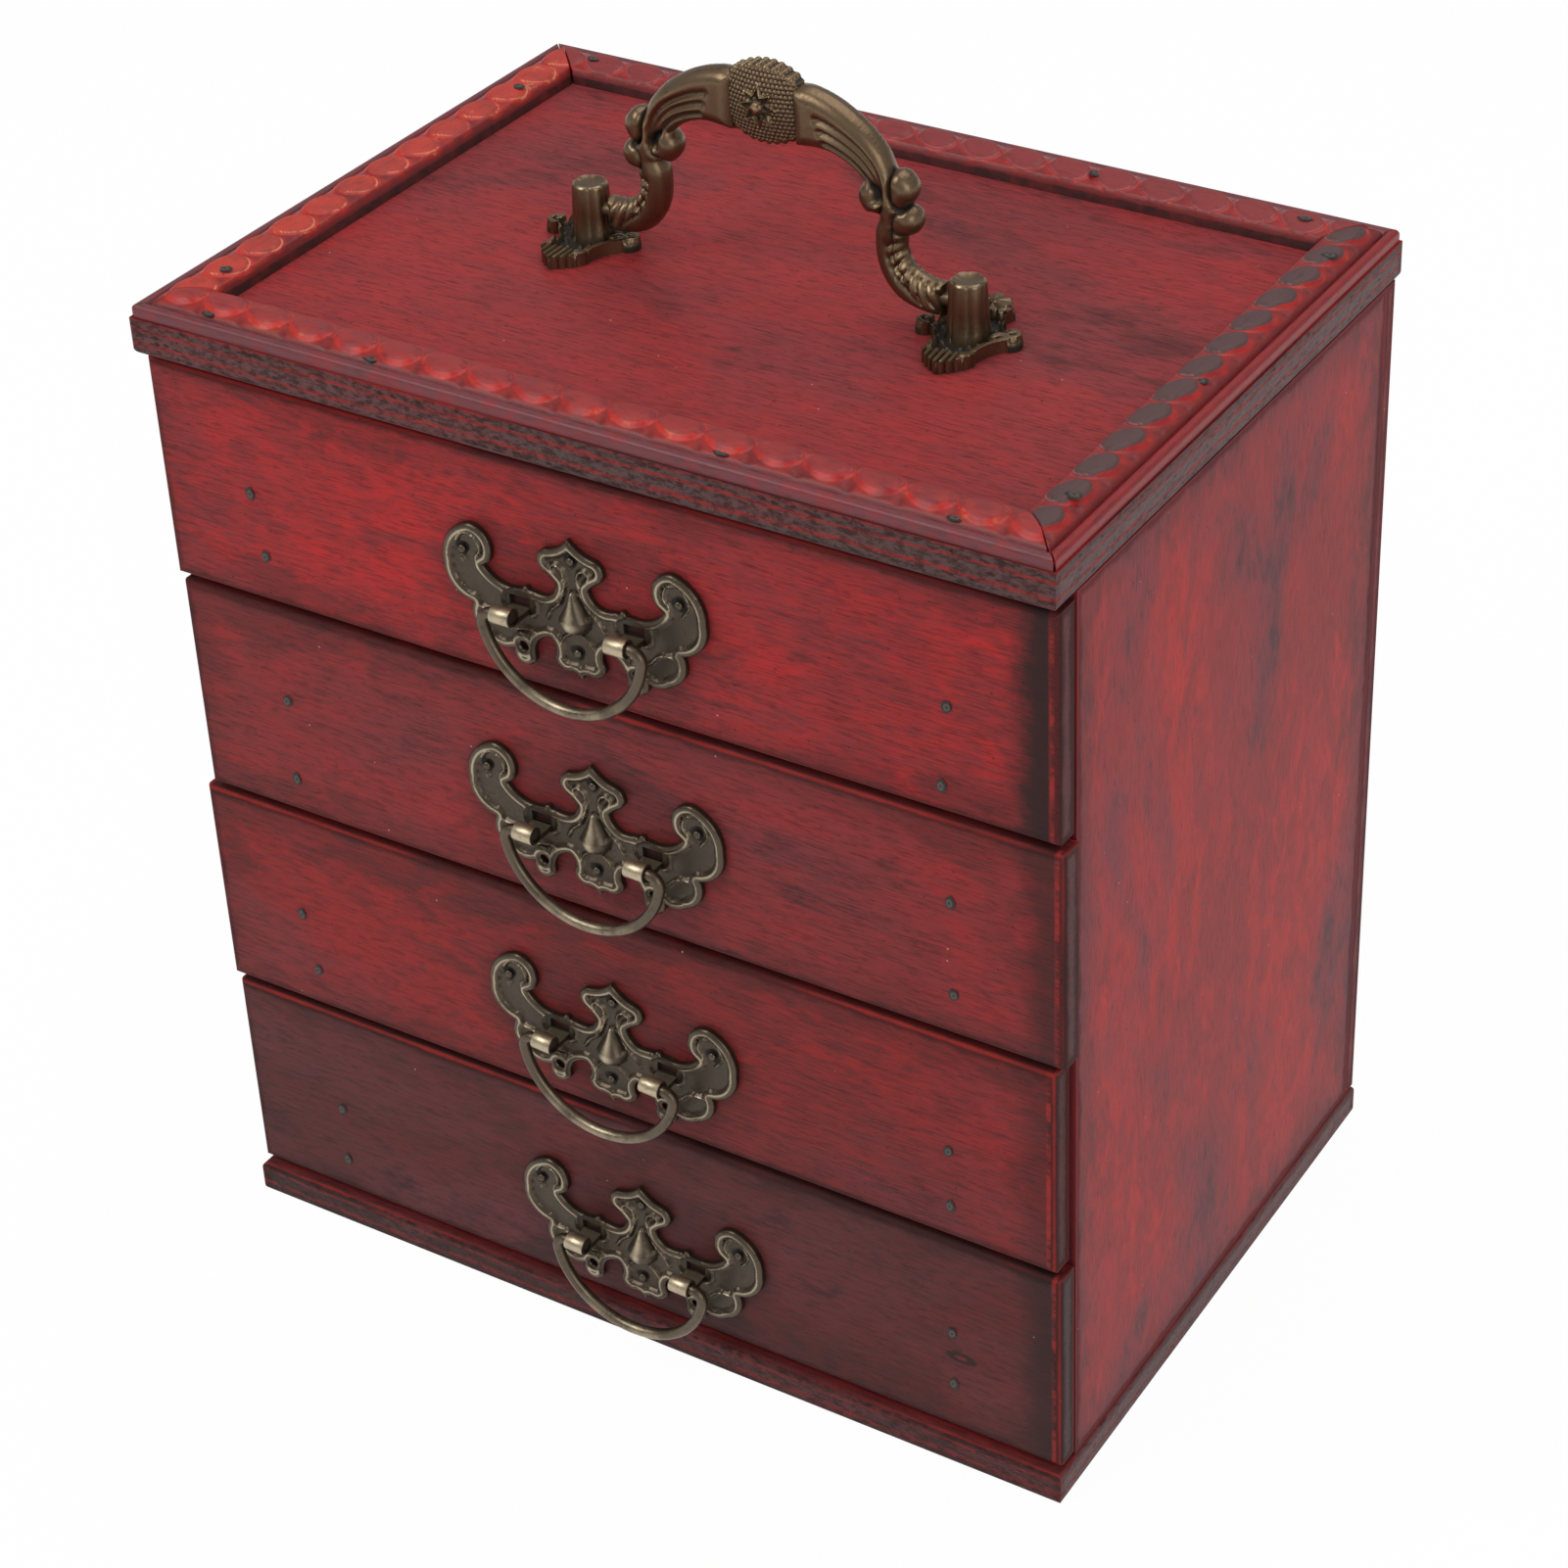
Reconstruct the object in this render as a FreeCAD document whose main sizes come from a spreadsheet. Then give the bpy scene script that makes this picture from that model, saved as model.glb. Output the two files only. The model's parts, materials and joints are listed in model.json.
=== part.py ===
import FreeCAD, Part
import math
import os
import re
from collections import namedtuple

from FreeCAD import Placement, Rotation, Vector

# Jewelry box with four drawers, millimetres.
# The origin is the middle of the underside, +Z up, the drawers open towards -Y.

# Driving dimensions
SIZES = {
    # case boards
    "case_width": 200,
    "plate_lap": 0.5,
    "top_lap": 1.5,
    "top_thick": 8,
    "base_depth": 140,
    "base_thick": 8,
    "opening_height": 202.5,
    "side_thick": 18,
    "back_thick": 4,
    "shelf_thick": 3,
    "shelf_groove": 4,
    "shelf_setback": 1,
    "board_round": 1.5,
    # frame of mouldings on the top
    "moulding_width": 12.5,
    "moulding_height": 4.8,
    "moulding_fascia": 2.6,
    "moulding_quirk": 2.8,
    "moulding_wall": 3,
    "moulding_inset": 0.4,
    "mitre_gap": 0.15,
    "cut_margin": 1,
    "notch_pitch": 10.4,
    "notch_depth": 1.1,
    # drawers
    "front_thick": 5.5,
    "front_gap": 1.5,
    "front_reveal": 1,
    "front_round": 1.3,
    "nail_proud": 0.15,
    "closed_gap": 0.6,
    "slide_gap": 0.9,
    "slide_lift": 0.3,
    "rear_gap": 3,
    "drawer_wall": 7,
    "drawer_height": 32,
    "drawer_back_thick": 6,
    "floor_thick": 2.5,
    "floor_groove": 3,
    "floor_height": 3,
    # bail pulls on the drawers
    "pull_span": 58.8,
    "pull_height": 30.2,
    "pull_thick": 1.6,
    "pull_rise": 17.9,
    "pivot_out": 6.2,
    "barrel_start": 10.6,
    "barrel_length": 4.6,
    "barrel_radius": 1.9,
    "strap_thick": 1.1,
    "window_height": 2.2,
    "wire_radius": 1.2,
    "wire_fit": 0.05,
    "wire_end_gap": 0.3,
    "bail_drop": 17.6,
    "bail_bend": 2.4,
    "drop_radius": 3.4,
    "drop_length": 9.6,
    "drop_proud": 4,
    # carrying handle on the top
    "handle_x": 2.5,
    "handle_y": -3,
    "handle_turn": -1.6,
    "handle_pitch": 86.5,
    "handle_lift": 7.3,
    "arm_thick": 6.6,
    "arm_taper": 18,
    "arm_gap": 0.4,
    "boss_width": 15.4,
    "boss_top": 39.8,
    "boss_bottom": 23.4,
    "boss_crown": 2.5,
    "boss_thick": 7.6,
    "boss_taper": 26,
    "star_radius": 5.4,
    "star_rise": 0.5,
    "button_rise": 1,
    "pin_radius": 1.5,
    "pin_fit": 0.06,
    "pin_bite": 5,
    "pin_end_gap": 0.3,
    "foot_long": 31,
    "foot_wide": 21.6,
    "foot_thick": 2.8,
    "foot_recess": 1.6,
    "post_height": 12.5,
    "post_radius": 4.3,
    "post_taper": 3,
    "screw_radius": 1.4,
    "screw_fit": 0.2,
    "screw_bite": 4,
    "screw_head": 3,
    "screw_head_thick": 2,
    # how far the straight facets of small round shapes may cut inside the true curve
    "facet_depth": 0.15,
    # nails
    "nail_radius": 0.7,
    "nail_head": 1.2,
    "nail_length": 18,
    "brad_radius": 0.5,
    "brad_head": 0.9,
    "brad_length": 11,
    "tack_radius": 0.55,
    "tack_head": 1,
    "tack_length": 5.5,
    "head_thick": 0.6,
    "nail_sunk": 0.2,
    "nail_inset": 25,
}

# How far each nailed front and pull sits off its true place, as on the hand-made box
# and where its nails were driven: left two and right two, across from the middle of the wall
# behind and up from the front's lower edge
Drawer = namedtuple("Drawer", "number front_shift pull_shift_x pull_shift_z pull_turn nails")
DRAWERS = (
    Drawer(1, -0.2, -1.5, 0.9, 2.0, ((-0.4, 24.2), (1.2, 10.5), (-0.2, 23.1), (-1.8, 5.8))),
    Drawer(2, 0.8, -1.0, 1.4, 0.0, ((1.8, 27.2), (1.8, 8.3), (-0.5, 30.6), (0.1, 9.6))),
    Drawer(3, -1.1, -1.3, -0.3, -3.0, ((-1.8, 23.2), (0.4, 9.4), (-1.8, 21.6), (-1.8, 8.0))),
    Drawer(4, 0.0, 2.3, -1.3, -1.0, ((1.8, 22.6), (1.8, 8.6), (-1.8, 25.3), (-1.8, 11.9))),
)

# Places and sizes that follow from the driving dimensions
DERIVED = {
    "pitch": "(opening_height - front_gap) / 4",
    "front_height": "pitch - front_gap",
    "plate_width": "case_width + 2 * plate_lap",
    "top_depth": "base_depth + 2 * top_lap",
    "top_under": "base_thick + opening_height",
    "top_face": "top_under + top_thick",
    "inner_half": "case_width / 2 - side_thick",
    "front_face": "-base_depth / 2 + front_reveal",
    "front_back": "front_face + front_thick",
    "side_front": "front_back + closed_gap",
    "back_inside": "base_depth / 2 - back_thick",
    "box_half": "inner_half - slide_gap",
    "box_rear": "back_inside - rear_gap",
    "box_length": "box_rear - front_back",
    "wall_inside": "box_half - drawer_wall",
    "panel_top": "floor_height + floor_thick",
    "barrel_end": "barrel_start + barrel_length",
    "foot_across": "handle_pitch / 2 * cos(handle_turn * 1deg)",
    "foot_aside": "handle_pitch / 2 * sin(handle_turn * 1deg)",
    "pivot_height": "top_face + handle_lift",
    "arm_end": "handle_pitch / 2 - post_radius - arm_gap",
}


def formula(text):
    """Spell out a formula of named sizes as an expression on the sheet."""
    longer = None
    while longer != text:
        longer, text = text, re.sub(r"\b[a-z_]+\b", lambda word: spell_out(word[0]), text)
    return re.sub(r"\b[a-z_]+\b", lambda word: f"sizes.{word[0]}" if word[0] in SIZES else word[0], text)


def spell_out(word):
    """Put a derived size's own formula in place of its name."""
    return f"({DERIVED[word]})" if word in DERIVED else word


def value(text):
    """Work a formula out as a number."""
    return float(sheet.evalExpression(formula(text)))


doc = FreeCAD.newDocument("jewelry_box")
sheet = doc.addObject("Spreadsheet::Sheet", "sizes")
for row, (name, number) in enumerate(SIZES.items(), 1):
    sheet.set(f"A{row}", name)
    sheet.set(f"B{row}", str(number))
    sheet.setAlias(f"B{row}", name)
doc.recompute()

parts = []
UP, ALONG, OUT = Vector(0, 0, 1), Vector(1, 0, 0), Vector(0, -1, 0)


def bind(thing, **formulas):
    """Tie properties of an object to formulas of named sizes; x, y and z are its place."""
    for name, text in formulas.items():
        target = f"Placement.Base.{name}" if name in ("x", "y", "z") else name
        thing.setExpression(target, formula(text))


def new_body(name, x="0", y="0", z="0", turn=0, about=Vector(0, 0, 1)):
    """Start a sub-part at its own place, turned by a fixed angle about one axis."""
    body = doc.addObject("PartDesign::Body", name)
    body.Label = name
    body.Placement = Placement(Vector(), Rotation(about, turn))
    bind(body, x=x, y=y, z=z)
    parts.append(body)
    return body


def add_feature(body, kind, name, **formulas):
    """Add a feature to a body, with the body's label before its own name."""
    feature = body.newObject(f"PartDesign::{kind}", f"{body.Label}_{name}")
    bind(feature, **formulas)
    return feature


def box_feature(body, kind, name, corner, size):
    """Add or cut a box given by its low corner and its size."""
    long, wide, high = size
    x, y, z = corner
    box = add_feature(body, kind, name, Length=long, Width=wide, Height=high, x=x, y=y, z=z)
    doc.recompute()
    return box


def facet_count(radius, turn):
    """Number of straight facets that follow a curve of a radius through a turn in radians."""
    return max(2, math.ceil(turn / (2 * math.acos(1 - value("facet_depth") / radius))))


def side_count(radius):
    """Even number of sides for a small round shape."""
    return 2 * math.ceil(facet_count(radius, 2 * math.pi) / 2)


def rod_feature(body, kind, name, start, way, radius, length):
    """Add a many-sided rod, or cut a bore that clears a round of its radius, from a start along a way."""
    rod = add_feature(body, f"{kind}Prism", name)
    rod.Placement = Placement(Vector(), Rotation(UP, way))
    rod.Polygon = side_count(value(radius))
    reach = f"({radius}) / cos(180deg / {rod.Polygon})" if kind == "Subtractive" else radius
    x, y, z = start
    bind(rod, Circumradius=reach, Height=length, x=x, y=y, z=z)
    doc.recompute()
    return rod


def origin_plane(body, role):
    """Find one of a body's own origin planes."""
    return next(plane for plane in body.Origin.OriginFeatures if plane.Role == role)


def draw(body, name, role, curves, offset=("0", "0", "0")):
    """Draw curves in a sketch on an origin plane, moved off it by an offset."""
    sketch = body.newObject("Sketcher::SketchObject", f"{body.Label}_{name}")
    sketch.AttachmentSupport = [(origin_plane(body, role), "")]
    sketch.MapMode = "FlatFace"
    for axis, text in zip("xyz", offset):
        sketch.setExpression(f"AttachmentOffset.Base.{axis}", formula(text))
    sketch.addGeometry(curves, False)
    doc.recompute()
    return sketch


def pad(body, name, sketch, length, midplane=False):
    """Pad a sketch by a length, to one side or to both alike."""
    feature = add_feature(body, "Pad", name, Length=length)
    feature.Profile = sketch
    feature.Midplane = midplane
    doc.recompute()
    return feature


def cut_through(body, name, role, curves):
    """Cut the drawn outlines right through a body, both ways from their plane."""
    before = body.Shape.Volume
    feature = add_feature(body, "Pocket", name)
    feature.Profile = draw(body, f"{name}_lines", role, curves)
    feature.Type = "ThroughAll"
    feature.Midplane = True
    doc.recompute()
    if body.Shape.Volume >= before:
        raise ValueError(f"{body.Label}: {name} cuts nothing")


def closed(points):
    """Join points by straight lines into a closed outline."""
    corners = [Vector(point[0], point[1], 0) for point in points]
    return [Part.LineSegment(corners[i - 1], corners[i]) for i in range(len(corners))]


def regular(radius, x=0, y=0, outside=False):
    """Corners of a small many-sided round about a middle, inside or outside its true circle."""
    sides = side_count(radius)
    reach = radius / math.cos(math.pi / sides) if outside else radius
    angles = [2 * math.pi * (step + 0.5) / sides for step in range(sides)]
    return [(x + reach * math.cos(angle), y + reach * math.sin(angle)) for angle in angles]


def along_arc(start, via, end):
    """Points of the facets that follow an arc through three points, after its start."""
    edge = Part.Arc(start, via, end).toShape()
    steps = facet_count(edge.Curve.Radius, edge.Length / edge.Curve.Radius)
    points = edge.discretize(steps + 1)
    if points[0].distanceToPoint(start) > points[-1].distanceToPoint(start):
        points.reverse()
    return points[1:]


def along_stretches(start, stretches):
    """Points of an outline that follows straight stretches and arcs, each given by its later points."""
    points = [start]
    for stretch in stretches:
        points += along_arc(points[-1], *stretch) if len(stretch) == 2 else stretch
    return points


def round_edges(body, radius, wanted):
    """Round the edges of the body's tip that a test of their middle points picks."""
    base = body.Tip
    names = [f"Edge{i}" for i, edge in enumerate(base.Shape.Edges, 1) if wanted(edge.CenterOfMass)]
    fillet = add_feature(body, "Fillet", "round")
    fillet.Base = (base, names)
    bind(fillet, Radius=radius)
    doc.recompute()


def board(name, corner, size):
    """Make a plain board from its low corner and its size."""
    body = new_body(name, *corner)
    box_feature(body, "AdditiveBox", "board", ("0", "0", "0"), size)
    return body


# Case
def make_plates():
    """Base and top panels, which lap over the sides and the drawer fronts."""
    base_corner = ("-plate_width / 2", "-base_depth / 2", "0")
    base = board("base_panel", base_corner, ("plate_width", "base_depth", "base_thick"))
    mid_height = value("base_thick / 2")
    round_edges(base, "board_round", lambda middle: abs(middle.z - mid_height) > mid_height / 2)
    top_corner = ("-plate_width / 2", "-top_depth / 2", "top_under")
    top = board("top_panel", top_corner, ("plate_width", "top_depth", "top_thick"))
    round_edges(top, "board_round", lambda middle: middle.z < value("board_round"))
    for side, sign in (("left", "-"), ("right", "+")):
        across, aside = f"handle_x {sign} foot_across", f"handle_y {sign} foot_aside"
        start = (f"plate_width / 2 + {across}", f"top_depth / 2 + {aside}", "0")
        hole = f"{side}_screw_hole"
        rod_feature(top, "Subtractive", hole, start, UP, "screw_radius + screw_fit", "top_thick")


def make_sides():
    """Side panels, each with a groove for each shelf that stops short of the front edge."""
    depth = "back_inside - side_front"
    for name, left, groove in (
        ("left_side", "-case_width / 2", "side_thick - shelf_groove"),
        ("right_side", "inner_half", "0"),
    ):
        body = board(name, (left, "side_front", "base_thick"), ("side_thick", depth, "opening_height"))
        for shelf in (1, 2, 3):
            corner = (groove, "shelf_setback", f"{4 - shelf} * pitch - shelf_thick")
            size = ("shelf_groove", f"{depth} - shelf_setback", "shelf_thick")
            box_feature(body, "SubtractiveBox", f"groove_{shelf}", corner, size)


def make_back_and_shelves():
    """Back panel behind the sides, and the three shelves let into their grooves."""
    back_corner = ("-case_width / 2", "back_inside", "base_thick")
    board("back_panel", back_corner, ("case_width", "back_thick", "opening_height"))
    for shelf in (1, 2, 3):
        height = f"base_thick + {4 - shelf} * pitch - shelf_thick"
        corner = ("-inner_half - shelf_groove", "side_front + shelf_setback", height)
        length = "2 * (inner_half + shelf_groove)"
        board(f"shelf_{shelf}", corner, (length, "back_inside - side_front - shelf_setback", "shelf_thick"))


def cushion_arc():
    """Three points of the arc of the moulding's cushion, from the quirk over the crown to the inner wall."""
    quirk, wide = value("moulding_quirk"), value("moulding_width")
    foot, end = Vector(quirk, value("moulding_fascia"), 0), Vector(wide, value("moulding_wall"), 0)
    return foot, Vector((quirk + wide) / 2, value("moulding_height"), 0), end


def moulding_section():
    """Section of the moulding: a fascia with a round nose, a quirk, a cushion and an inner wall."""
    fascia = value("moulding_fascia")
    nose = fascia / 3
    rise = nose * (1 - math.sqrt(0.5))
    foot, crown, end = cushion_arc()
    stretches = [
        (Vector(0, fascia - nose, 0),),
        (Vector(rise, fascia - rise, 0), Vector(nose, fascia, 0)),
        (foot,),
        (crown, end),
        (Vector(end.x, 0, 0),),
    ]
    return closed(along_stretches(Vector(0, 0, 0), stretches))


def make_moulding(name, length, x, y, turn):
    """One mitred strip of the frame, with its cushion notched across at an even pitch."""
    strip = new_body(name, x, y, "top_face", turn)
    pad(strip, "run", draw(strip, "section", "YZ_Plane", moulding_section()), length, midplane=True)
    half, wide, past = value(length) / 2, value("moulding_width"), value("cut_margin")
    outer = half - value("mitre_gap")
    inner, beyond = outer - wide, half + past
    ends = []
    for sign in (-1, 1):
        sloping = [(outer + past, -past), (inner - past, wide + past)]
        corners = sloping + [(beyond, wide + past), (beyond, -past)]
        ends += closed([(sign * across, along) for across, along in corners])
    cut_through(strip, "mitres", "XY_Plane", ends)
    pitch, depth, crown = value("notch_pitch"), value("notch_depth"), value("moulding_height")
    count = int((value(length) - 2 * wide) / pitch)
    notches = []
    for step in range(count + 1):
        middle = (step - count / 2) * pitch
        spread, above = depth + past, crown + past
        notches += closed([(middle - spread, above), (middle, crown - depth), (middle + spread, above)])
    cut_through(strip, "notches", "XZ_Plane", notches)


def make_mouldings():
    """Frame of four mouldings round the top."""
    across, along = "plate_width - 2 * moulding_inset", "top_depth - 2 * moulding_inset"
    make_moulding("moulding_front", across, "0", f"-({along}) / 2", 0)
    make_moulding("moulding_back", across, "0", f"({along}) / 2", 180)
    make_moulding("moulding_left", along, f"-({across}) / 2", "0", -90)
    make_moulding("moulding_right", along, f"({across}) / 2", "0", 90)


# Drawers
def compartment(drawer):
    """Height of the surface that a drawer runs on, counted up from the base."""
    return f"base_thick + {4 - drawer.number} * pitch"


def make_drawer(drawer):
    """A nailed box: an overlaid front, two grooved walls, a back and a thin bottom in the grooves."""
    name = f"drawer_{drawer.number}"
    left_end, bottom = f"-case_width / 2 + {drawer.front_shift}", f"{compartment(drawer)} + front_gap"
    front_size = ("case_width", "front_thick", "front_height")
    front = board(f"{name}_front", (left_end, "front_face", bottom), front_size)
    thick = value("front_thick")
    round_edges(front, "front_round", lambda middle: middle.y < thick / 4)
    under = f"{compartment(drawer)} + slide_lift"
    for side, left, groove in (
        ("left", "-box_half", "drawer_wall - floor_groove"),
        ("right", "wall_inside", "0"),
    ):
        size = ("drawer_wall", "box_length", "drawer_height")
        wall = board(f"{name}_{side}_side", (left, "front_back", under), size)
        groove_size = ("floor_groove", "box_length", "floor_thick")
        box_feature(wall, "SubtractiveBox", "groove", (groove, "0", "floor_height"), groove_size)
    back_corner = ("-wall_inside", "box_rear - drawer_back_thick", f"{under} + panel_top")
    back_size = ("2 * wall_inside", "drawer_back_thick", "drawer_height - panel_top")
    board(f"{name}_back", back_corner, back_size)
    bottom_corner = ("-wall_inside - floor_groove", "front_back", f"{under} + floor_height")
    board(f"{name}_bottom", bottom_corner, ("2 * (wall_inside + floor_groove)", "box_length", "floor_thick"))


# Pulls
# Right half of the plate's outline, from its top point round to its bottom one: points on
# and at the end of each arc, or the end of a straight stretch, with the pivot line at 0
DRAWN_SPAN = 58.8
DRAWN_HEIGHT = 30.2
PLATE_TOP = (0, 16.8)
PLATE_EDGE = (
    ((2.2, 14.8), (5.6, 13.5)),
    ((7.4, 11.0), (6.0, 8.7)),
    ((4.6, 7.7), (3.6, 6.7)),
    ((4.6, 4.3), (7.5, 3.2)),
    ((10.2, 3.5),),
    ((10.9, 4.2), (11.6, 3.5)),
    ((16.0, 3.4), (20.3, 6.4)),
    ((18.9, 7.4),),
    ((18.2, 11.4), (22.8, 14.9)),
    ((27.8, 11.6), (29.4, 5.6)),
    ((28.3, 0.8), (23.6, -2.2)),
    ((23.9, -6.0), (20.6, -9.4)),
    ((18.0, -10.6), (15.0, -10.1)),
    ((13.2, -13.3), (10.4, -11.4)),
    ((8.6, -6.6), (6.2, -5.6)),
    ((5.2, -8.2), (5.7, -9.4)),
    ((4.6, -11.6), (2.0, -12.0)),
    ((1.0, -12.2), (0, -13.4)),
)
TACKS = ((0, 12.2), (-0.6, -7.8), (-25, 9), (23.6, 8.8))
TACK_HOLES = ((-12.8, -9.2), (12.8, -9.2))
DROP_TIP_SHARE = 0.3
DROP_WAIST = (0.55, 0.35)


def on_plate(point, sign=1):
    """Scale a drawn point to the plate's span and height, on its right or left half."""
    x, z = point
    return Vector(sign * x * value("pull_span") / DRAWN_SPAN, z * value("pull_height") / DRAWN_HEIGHT, 0)


def plate_outline():
    """Closed outline of the bat-wing plate, with its left half mirrored from the right."""
    stretches = [[on_plate(point) for point in stretch] for stretch in PLATE_EDGE]
    right = along_stretches(on_plate(PLATE_TOP), stretches)
    left = [Vector(-point.x, point.y, 0) for point in right[-2:0:-1]]
    return closed(right + left)


def drop_outline(share):
    """Outline of the raised drop, its point upwards, drawn in by a share."""
    radius, length = value("drop_radius"), value("drop_length")
    apex, foot = Vector(0, length - radius, 0), Vector(0, -radius, 0)
    side, low = Vector(radius, 0, 0), Vector(radius * math.sqrt(0.5), -radius * math.sqrt(0.5), 0)
    across, up = DROP_WAIST
    waist = Vector(radius * across, apex.y * up, 0)
    right = along_stretches(apex, [(waist, side), (low, foot)])
    return closed([point * share for point in right + [Vector(-p.x, p.y, 0) for p in right[-2:0:-1]]])


def pull_height(drawer):
    """Height of a pull's pivot line."""
    return f"{compartment(drawer)} + front_gap + pull_rise + {drawer.pull_shift_z}"


def barrel_outline():
    """Side outline of a rolled barrel with its bore and the strap under it that holds it to the plate."""
    radius, out, thick = value("barrel_radius"), value("pivot_out"), value("strap_thick")
    over = radius - thick
    meet = Vector(math.sqrt(radius ** 2 - over ** 2) - out, -over, 0)
    half_turn = math.radians(90) + (math.radians(270) + math.asin(over / radius)) / 2
    far = Vector(radius * math.cos(half_turn) - out, -radius * math.sin(half_turn), 0)
    stretches = [(Vector(-out, -radius, 0),), (far, meet), (Vector(0, -over, 0),)]
    rolled = along_stretches(Vector(0, -radius, 0), stretches)
    return closed(rolled) + closed(regular(value("wire_radius + wire_fit"), -out, 0, outside=True))


def make_plate(drawer):
    """Bat-wing plate: a flat leaf with two windows, a raised drop, and two barrels under the windows."""
    place = (str(drawer.pull_shift_x), "front_face", pull_height(drawer))
    plate = new_body(f"pull_{drawer.number}_plate", *place, drawer.pull_turn, OUT)
    start, end = value("barrel_start"), value("barrel_end")
    low = value("strap_thick - barrel_radius")
    high = low + value("window_height")
    leaf = plate_outline()
    for left, right in ((-end, -start), (start, end)):
        leaf += closed([(left, low), (right, low), (right, high), (left, high)])
    for spot in map(on_plate, TACK_HOLES):
        leaf += closed(regular(value("tack_radius"), spot.x, spot.y))
    pad(plate, "leaf", draw(plate, "leaf_outline", "XZ_Plane", leaf), "pull_thick")
    drop = add_feature(plate, "AdditiveLoft", "drop")
    drop.Profile = draw(plate, "drop_foot", "XZ_Plane", drop_outline(1))
    tip = draw(plate, "drop_tip", "XZ_Plane", drop_outline(DROP_TIP_SHARE), ("0", "0", "drop_proud"))
    drop.Sections = [(tip, [""])]
    drop.Ruled = True
    doc.recompute()
    for side, left in (("left", "-barrel_end"), ("right", "barrel_start")):
        barrel = draw(plate, f"{side}_barrel_outline", "YZ_Plane", barrel_outline(), ("0", "0", left))
        pad(plate, f"{side}_barrel", barrel, "barrel_length")
    return plate


def make_bail(drawer):
    """Wire bail: a low arc that bends in at both ends to pins in the barrels."""
    place = (str(drawer.pull_shift_x), "front_face - pivot_out", pull_height(drawer))
    bail = new_body(f"pull_{drawer.number}_bail", *place, drawer.pull_turn, OUT)
    bend, drop = value("bail_bend"), value("bail_drop")
    end, corner = value("barrel_start + wire_end_gap"), value("barrel_end + wire_end_gap")
    arc = (corner ** 2 + (drop - bend) ** 2 - bend ** 2) / (2 * (drop - 2 * bend))
    middle, bend_middle = Vector(0, arc - drop, 0), Vector(corner, -bend, 0)
    outward = (bend_middle - middle).normalize()
    touch = middle + outward * arc
    half_way = bend_middle + (outward + Vector(0, 1, 0)).normalize() * bend
    right = along_stretches(Vector(end, 0, 0), [(Vector(corner, 0, 0),), (half_way, touch)])
    low = along_arc(touch, Vector(0, -drop, 0), Vector(-touch.x, touch.y, 0))
    left = [Vector(-point.x, point.y, 0) for point in right[-2::-1]]
    points = right + low + left
    runs = [Part.LineSegment(here, there) for here, there in zip(points, points[1:])]
    wire = add_feature(bail, "AdditivePipe", "wire")
    ring = closed(regular(value("wire_radius")))
    wire.Profile = draw(bail, "section", "YZ_Plane", ring, ("0", "0", "barrel_start + wire_end_gap"))
    wire.Spine = (draw(bail, "path", "XZ_Plane", runs), [f"Edge{i}" for i in range(1, len(runs) + 1)])
    wire.Transition = "Right corner"
    doc.recompute()


# Handle
# Outline of the right arm, from the boss out along the leaf's back, round two knuckles, down the
# inside of the scroll to the pin, back up its outside, round the leaf's own curl and in again:
# x from the handle's middle and z from the pin.
DRAWN_BOSS_HALF = 7.7
DRAWN_ARM_END = 38.5
DRAWN_HANDLE_TOP = 39.8
STAR_RAYS = 8
ARM_EDGE = (
    (6.4, 36.4), (10.4, 36.6), (16.2, 34.9), (22, 31.4), (25.9, 27.5), (27.7, 24),
    (30.2, 24.2), (32.4, 22.2), (32.7, 19.8), (31.5, 17.6),
    (33.2, 16.2), (33.6, 13.9), (32.4, 12), (30.3, 11.2),
    (30.1, 8.2), (31.3, 5.4), (34.2, 3.6), (38.5, 3.2),
    (38.5, -3.5), (33.6, -3.2), (29.2, -1.8), (25.9, 1.4), (24.1, 5.8), (23.9, 11.2), (24.9, 14.2),
    (22.9, 14.1), (21.4, 15.2), (20.4, 17.1), (20.6, 19.2), (21.9, 20.8),
    (18.8, 23.2), (13.6, 24.9), (6.4, 24.5),
)


def arm_outline(side):
    """Closed outline of one arm, scaled between the boss and the post, to the left or the right."""
    half = value("boss_width / 2")
    across = (value("arm_end") - half) / (DRAWN_ARM_END - DRAWN_BOSS_HALF)
    up = value("boss_top") / DRAWN_HANDLE_TOP
    return closed([(side * (half + (x - DRAWN_BOSS_HALF) * across), z * up) for x, z in ARM_EDGE])


def boss_outline():
    """Outline of the boss: straight sides and a crowned top and bottom."""
    half, crown = value("boss_width") / 2, value("boss_crown")
    low, high = value("boss_bottom"), value("boss_top")
    stretches = [
        (Vector(0, low, 0), Vector(half, low + crown, 0)),
        (Vector(half, high - crown, 0),),
        (Vector(0, high, 0), Vector(-half, high - crown, 0)),
    ]
    return closed(along_stretches(Vector(-half, low + crown, 0), stretches))


def bevelled_pad(body, name, outline, thick, taper):
    """Pad an outline alike to both sides of its plane, with flanks that slope in by a taper."""
    half = f"({thick}) / 2"
    feature = pad(body, name, draw(body, f"{name}_outline", "XZ_Plane", outline), half)
    feature.SideType = "Two sides"
    bind(feature, Length2=half, TaperAngle=f"-{taper}", TaperAngle2=f"-{taper}")
    doc.recompute()


def star_outline(middle):
    """Outline of the star about a point at a height, with its rays and the notches between them."""
    radius, corners = value("star_radius"), []
    for step in range(2 * STAR_RAYS):
        angle, reach = math.pi * step / STAR_RAYS, radius if step % 2 == 0 else radius / 2
        corners.append((reach * math.sin(angle), middle + reach * math.cos(angle)))
    return closed(corners)


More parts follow.
